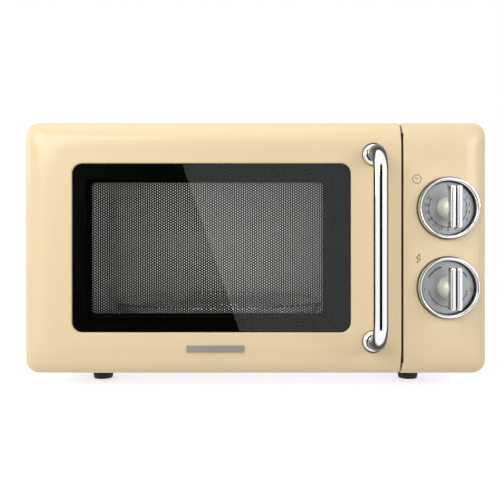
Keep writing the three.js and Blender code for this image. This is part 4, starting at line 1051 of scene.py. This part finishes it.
# ---- Outer cover ----
# One sheet of painted steel, folded round the top and both sides, with pressed air slots near the back
# of each side. It hooks into the front frame and is screwed to the rear panel.
cover_low, cover_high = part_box("outer_cover")
sheet_steel = 0.0007
cover_radius = 0.012
cream_steel = finish(
    "cream_steel", (0.825, 0.63, 0.41), 0.4, shade=0.985, spread=0.06, grain=1500, bump=0.14, coat=0.15
)
cover = solid_box("cover_wrap", cover_low, cover_high)
ease_edges(
    cover,
    lambda a, b: min(a.z, b.z) > cover_high.z - hair and abs(a.x - b.x) < 1e-6,
    cover_radius,
    12,
)
drop_faces(cover, lambda centre, normal: abs(normal.y) > 0.99 or normal.z < -0.99)
thicken(cover, sheet_steel)
slot_count = 12
slot_pitch = 0.008
slot_width = 0.003
tool_reach = 0.004


def slot_row(low, high, run):
    """A row of slots set out along run, with their edges rounded along x."""
    slot = solid_box("slots", low, high)
    ease_edges(slot, lambda a, b: abs(a.x - b.x) > 1e-4, slot_width * 0.45, 4)
    repeat(slot, slot_count, run)
    return slot


first_slot = cover_high.y - 0.043
for side_x, slot_low, slot_high in ((cover_high.x, 0.050, 0.075), (cover_low.x, 0.070, 0.090)):
    slots = slot_row(
        (side_x - tool_reach, first_slot, middle + slot_low),
        (side_x + tool_reach, first_slot + slot_width, middle + slot_high),
        (0, -slot_pitch, 0),
    )
    cut(cover, slots)
smooth(cover, 30)
settle(cover, "cabinet", "cream_steel", cream_steel, "outer_cover")


# ---- Rear panel, screws and bush ----
# A zinc-plated plate with a field stamped outwards behind the cavity, and two columns of slots behind
# the fan. Six cross-head screws hold it, and a rubber bush fills the hole for the mains lead.
rear_low, rear_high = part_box("rear_panel")
gland_low, gland_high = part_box("cord_gland")
zinc = finish(
    "zinc_steel", (0.46, 0.47, 0.48), 0.4, 0.9,
    shade=0.9, spread=0.1, grain=260, stretch=(1, 1, 6), bump=0.06,
)
rear_height = rear_high.z - rear_low.z
rear_z = centre_of(rear_low, rear_high)[2]
rear = rounded_plate(
    "rear_plate", 0, rear_z, rear_high.x - rear_low.x, rear_height,
    cover_radius, rear_high.y, rear_high.y - rear_low.y, 10,
)
field = rounded_plate(
    "stamped_field", -0.052, rear_z, 0.30, rear_height - 0.05, 0.014, rear_high.y + 0.0012, 0.0016
)
ease_edges(field, lambda a, b: min(a.y, b.y) > rear_high.y + 0.001, 0.0009)
cut(rear, field, "UNION")
fan_x, _, fan_z = centre_of(*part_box("fan_blade"))
for start in (fan_x - 0.038, fan_x + 0.002):
    slots = slot_row(
        (start, rear_low.y - tool_reach, fan_z - 0.0455),
        (start + 0.036, rear_high.y + tool_reach, fan_z - 0.0455 + slot_width),
        (0, 0, slot_pitch),
    )
    cut(rear, slots)
gland_x, _, gland_z = centre_of(gland_low, gland_high)
gland_radius = 0.008
drill(rear, gland_x, rear_high.y, gland_z, gland_radius + gap, 48)
smooth(rear, 30)
settle(rear, "cabinet", "zinc_steel", zinc, "rear_panel")

screw_steel = finish(
    "screw_steel", (0.42, 0.43, 0.44), 0.3, 0.95, shade=0.85, spread=0.08, grain=900, bump=0.04
)
head_radius = 0.0034
head_back = rear_high.y + 0.0001


def copy_of(piece, name, shift):
    """A copy with a mesh of its own, moved by shift."""
    twin = piece.copy()
    twin.data = piece.data.copy()
    bpy.context.collection.objects.link(twin)
    make_active(twin)
    twin.location = shift
    return fix_place(name)


head_profile = [
    (head_radius - 0.0002, head_back),
    (head_radius, head_back + 0.0002),
    (head_radius - 0.0002, head_back + 0.0009),
    (head_radius - 0.0010, head_back + 0.0016),
    (head_radius - 0.0022, head_back + 0.0019),
]
screw = turned("screw", (0, 0), head_profile, 40)
arm_length, arm_width = 0.0022, 0.0004
for x, z in ((arm_length, arm_width), (arm_width, arm_length)):
    cut(screw, solid_box("cross_slot", (-x, head_back + 0.0009, -z), (x, head_back + 0.003, z)))
screw_places = [
    (rear_low.x + 0.012, rear_high.z - 0.014),
    (rear_high.x - 0.012, rear_high.z - 0.014),
    (rear_low.x + 0.012, rear_z),
    (rear_high.x - 0.009, rear_z - 0.03),
    (rear_low.x + 0.012, rear_low.z + 0.014),
    (rear_high.x - 0.012, rear_low.z + 0.014),
]
for count, (screw_x, screw_z) in enumerate(screw_places, 1):
    head = copy_of(screw, f"rear_screw_{count}", (screw_x, 0, screw_z))
    settle(head, "cabinet", "zinc_steel", screw_steel)
bpy.data.objects.remove(screw)

rubber = finish(
    "rubber", (0.014, 0.014, 0.014), 0.72, shade=0.7, spread=0.12, grain=1600, bump=0.2
)
flange = gland_radius + 0.003
bush_profile = [
    (0.004, gland_low.y),
    (flange - 0.0005, gland_low.y),
    (flange, gland_low.y + 0.0005),
    (flange, rear_low.y - gap),
    (gland_radius, rear_low.y - gap),
    (gland_radius, rear_high.y + gap),
    (flange, rear_high.y + gap),
    (flange - 0.0003, gland_high.y - 0.0022),
    (flange - 0.0012, gland_high.y - 0.0006),
    (flange - 0.0026, gland_high.y),
    (0.0046, gland_high.y),
    (0.004, gland_high.y - 0.0006),
]
bush = turned("lead_bush", (gland_x, gland_z), bush_profile, 48, open_middle=True)
settle(bush, "cabinet", "rubber", rubber, "cord_gland")


# ---- Base plate and feet ----
# The zinc-plated base plate keeps its CAD shape, and so do the front frame and the door hinges. Each
# foot is a moulded rubber cone with a recess for the screw that holds it to the plate.
dress(zinc, "base_plate", "front_frame", "hinge_upper", "hinge_lower")

foot_low, foot_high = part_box("foot_front_left")
foot_x, foot_y, _ = centre_of(foot_low, foot_high)
foot_top = foot_high.z
sole = 0.010
foot_profile = [
    (0.0025, 0.006),
    (0.0034, 0.0008),
    (0.0042, 0.0),
    (sole - 0.0012, 0.0),
    (sole - 0.0004, 0.0004),
    (sole, 0.0014),
    (sole + 0.0006, 0.0050),
    (sole + 0.0004, 0.0054),
    (sole + 0.0007, 0.0060),
    (sole + 0.0015, foot_top - 0.005),
    (sole + 0.0028, foot_top - 0.0009),
    (sole + 0.0024, foot_top),
]
first_foot = turned(
    "foot_pad_front_left", (foot_x, foot_y), foot_profile, 56, upright=True, angle=40
)
for place in ("front_right", "rear_left", "rear_right"):
    x, y, _ = centre_of(*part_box("foot_" + place))
    foot = copy_of(first_foot, "foot_pad_" + place, (x - foot_x, y - foot_y, 0))
    settle(foot, "cabinet", "rubber", rubber, "foot_" + place)
settle(first_foot, "cabinet", "rubber", rubber, "foot_front_left")


# ---- Cavity ----
# Two folded sheets with a mid grey enamel, fine dark specks in it, and a mica board over the feed. A
# soft light stands for the oven lamp's glow, so that the screen's holes show bright.
cavity_enamel = finish(
    "cavity_enamel", (0.46, 0.47, 0.45), 0.42, shade=0.95, spread=0.08, grain=900, bump=0.08
)
enamel_tree = cavity_enamel.node_tree
specks = enamel_tree.nodes.new("ShaderNodeTexVoronoi")
set_inputs(specks, {"Scale": 420})
speck_place = enamel_tree.nodes.new("ShaderNodeTexCoord")
enamel_tree.links.new(speck_place.outputs["Object"], specks.inputs["Vector"])
speck_mask = remap(enamel_tree, specks.outputs["Distance"], 0.10, 0.16, 0.35, 0.0)
speckled = colour_mix(enamel_tree, speck_mask, enamel_tree.nodes["tone"].outputs[2], (0.12, 0.13, 0.14))
enamel_tree.links.new(speckled, enamel_tree.nodes["Principled BSDF"].inputs["Base Color"])
dress(cavity_enamel, "cavity_wrap", "cavity_floor")

mica = finish(
    "mica", (0.52, 0.43, 0.31), 0.5,
    shade=0.7, spread=0.15, grain=180, stretch=(1, 1, 0.4), bump=0.1, coat=0.2,
)
dress(mica, "waveguide_cover")

wrap_low, wrap_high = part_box("cavity_wrap")
lamp_power = 1.3
lamp_z = middle + 0.01
glow = soft_light(
    "cavity_light",
    (screen_x, wrap_low.y + 0.006, lamp_z),
    (screen_x, wrap_high.y, lamp_z),
    (0.25, 0.15),
    lamp_power,
    (1.0, 0.99, 0.97),
)
glow.visible_camera = False


# ---- Turntable ----
# A pressed clear glass tray with a raised rim and three lugs below. A white coupler on the motor turns
# it, and a plastic ring with three rollers carries it.
tray_low, tray_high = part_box("glass_tray")
tray_x, tray_y, _ = centre_of(tray_low, tray_high)
tray_radius = (tray_high.x - tray_low.x) / 2
tray_rim = tray_high.z
tray_top = tray_rim - 0.010
tray_base = tray_top - 0.004
rim_rings = (
    (0.0130, tray_base),
    (0.0095, tray_base + 0.0006),
    (0.0055, tray_base + 0.0026),
    (0.0022, tray_base + 0.0068),
    (0.0003, tray_rim - 0.0030),
    (0, tray_rim - 0.0016),
    (0.0005, tray_rim - 0.0003),
    (0.0014, tray_rim),
    (0.0024, tray_rim - 0.0005),
    (0.0044, tray_rim - 0.0046),
    (0.0070, tray_top + 0.0018),
    (0.0100, tray_top + 0.0003),
    (0.0125, tray_top),
)
tray_profile = [(0.030, tray_base)]
tray_profile += [(tray_radius - inset, height) for inset, height in rim_rings]
tray_profile += [
    (0.0825, tray_top),
    (0.0820, tray_top - 0.0005),
    (0.0790, tray_top - 0.0005),
    (0.0785, tray_top),
    (0.030, tray_top),
]
tray = turned("tray_dish", (tray_x, tray_y), tray_profile, 120, upright=True, angle=None)
lug_ring = 0.012
lug_profile = [
    (0.0020, tray_low.z),
    (0.0027, tray_low.z + 0.0004),
    (0.003, tray_low.z + 0.0012),
    (0.003, tray_base + 0.001),
]
for count in range(3):
    spot = around((tray_x, tray_y), lug_ring, (count + 0.5) * math.tau / 3 + math.pi / 2)
    cut(tray, turned("tray_lug", spot, lug_profile, 28, upright=True, angle=None), "UNION")
smooth(tray, 30)
tray_glass = glass_finish("tray_glass", (0.95, 0.985, 0.97), 0.01)
settle(tray, "tray", "clear_glass", tray_glass, "glass_tray")

white_plastic = finish(
    "white_plastic", (0.78, 0.77, 0.72), 0.45, shade=0.93, spread=0.08, grain=1200, bump=0.08
)
dress(white_plastic, "roller_ring", "roller_1", "roller_2", "roller_3", "drive_coupler")
dress(zinc, "turntable_motor")


# ---- Latch and interlock ----
# A black nylon bar with two hooks, pushed down by a coil spring in the door, and two small switches
# behind the frame that its hooks press.
nylon = finish(
    "black_nylon", (0.022, 0.022, 0.024), 0.48, shade=0.8, spread=0.1, grain=1300, bump=0.1
)
dress(nylon, "latch_bar", "primary_switch", "monitor_switch")
dress(white_plastic, "interlock_bracket", "primary_switch_plunger", "monitor_switch_plunger")

spring_low, spring_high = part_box("latch_spring")
spring_x, spring_y, _ = centre_of(spring_low, spring_high)
spring_length = spring_high.z - spring_low.z
wire = 0.0006
turns = 6
wire_steps = 28
bpy.ops.mesh.primitive_circle_add(
    vertices=10,
    radius=wire,
    fill_type="NOTHING",
    location=((spring_high.x - spring_low.x) / 2 - wire, 0, 0),
    rotation=facing_front,
)
spring = fix_place("spring_coil")
wind = spring.modifiers.new("wind", "SCREW")
wind.axis = "Z"
wind.angle = math.tau
wind.iterations = turns
wind.screw_offset = (spring_length - 2 * wire) / turns
wind.steps = wire_steps
wind.render_steps = wire_steps
bpy.ops.object.modifier_apply(modifier="wind")
open_mesh()
bpy.ops.mesh.fill_holes(sides=0)
close_mesh()
spring.location = (spring_x, spring_y, spring_low.z + wire)
fix_place("spring_coil")
smooth(spring, 60)
spring_steel = finish(
    "spring_steel", (0.56, 0.57, 0.58), 0.25, 1.0, shade=0.85, spread=0.06, grain=2200, bump=0.04
)
settle(spring, "door", "spring_steel", spring_steel, "latch_spring")
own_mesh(spring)


# ---- Behind the control panel and in the electrical bay ----
# Bought-in parts: control units on their shafts, the magnetron in its yoke on a waveguide, the fan in
# its shroud, a laminated transformer with two enamelled windings, a capacitor and the lamp.
def add_lines(material, direction, pitch, depth):
    """Fine parallel ridges across a direction, for laminations and windings."""
    tree = material.node_tree
    place = tree.nodes.new("ShaderNodeTexCoord")
    ridges = tree.nodes.new("ShaderNodeTexWave")
    ridges.bands_direction = direction
    set_inputs(ridges, {"Scale": math.tau / (20 * pitch), "Distortion": 0.4})
    tree.links.new(place.outputs["Object"], ridges.inputs["Vector"])
    ridge_relief = add_relief(tree, ridges.outputs["Fac"], depth, pitch / 2)
    tree.links.new(tree.nodes["relief"].outputs["Normal"], ridge_relief.inputs["Normal"])
    return material


core_steel = finish(
    "core_laminations", (0.16, 0.165, 0.17), 0.5, 0.7, shade=0.7, spread=0.12, grain=500, bump=0.1
)
add_lines(core_steel, "Y", 0.001, 0.6)
enamelled_copper = finish(
    "enamelled_copper", (0.46, 0.17, 0.055), 0.3, 0.6, shade=0.75, spread=0.08, grain=900, bump=0.05
)
add_lines(enamelled_copper, "Z", 0.0011, 0.7)
aluminium = finish(
    "can_aluminium", (0.6, 0.61, 0.62), 0.33, 0.9,
    shade=0.85, spread=0.08, grain=300, stretch=(1, 1, 10), bump=0.05,
)
lamp_glass = finish(
    "lamp_glass", (0.86, 0.85, 0.78), 0.25, shade=0.95, spread=0.05, grain=700, bump=0.03
)
dress(white_plastic, "timer_unit", "power_selector_unit", "fan_blade")
dress(zinc, "timer_shaft", "power_shaft", "waveguide", "magnetron_yoke", "fan_motor")
dress(nylon, "fan_shroud")
dress(aluminium, "high_voltage_capacitor", "magnetron_tube")
dress(core_steel, "transformer_core")
dress(enamelled_copper, "transformer_primary_coil", "transformer_secondary_coil")
dress(lamp_glass, "oven_lamp")
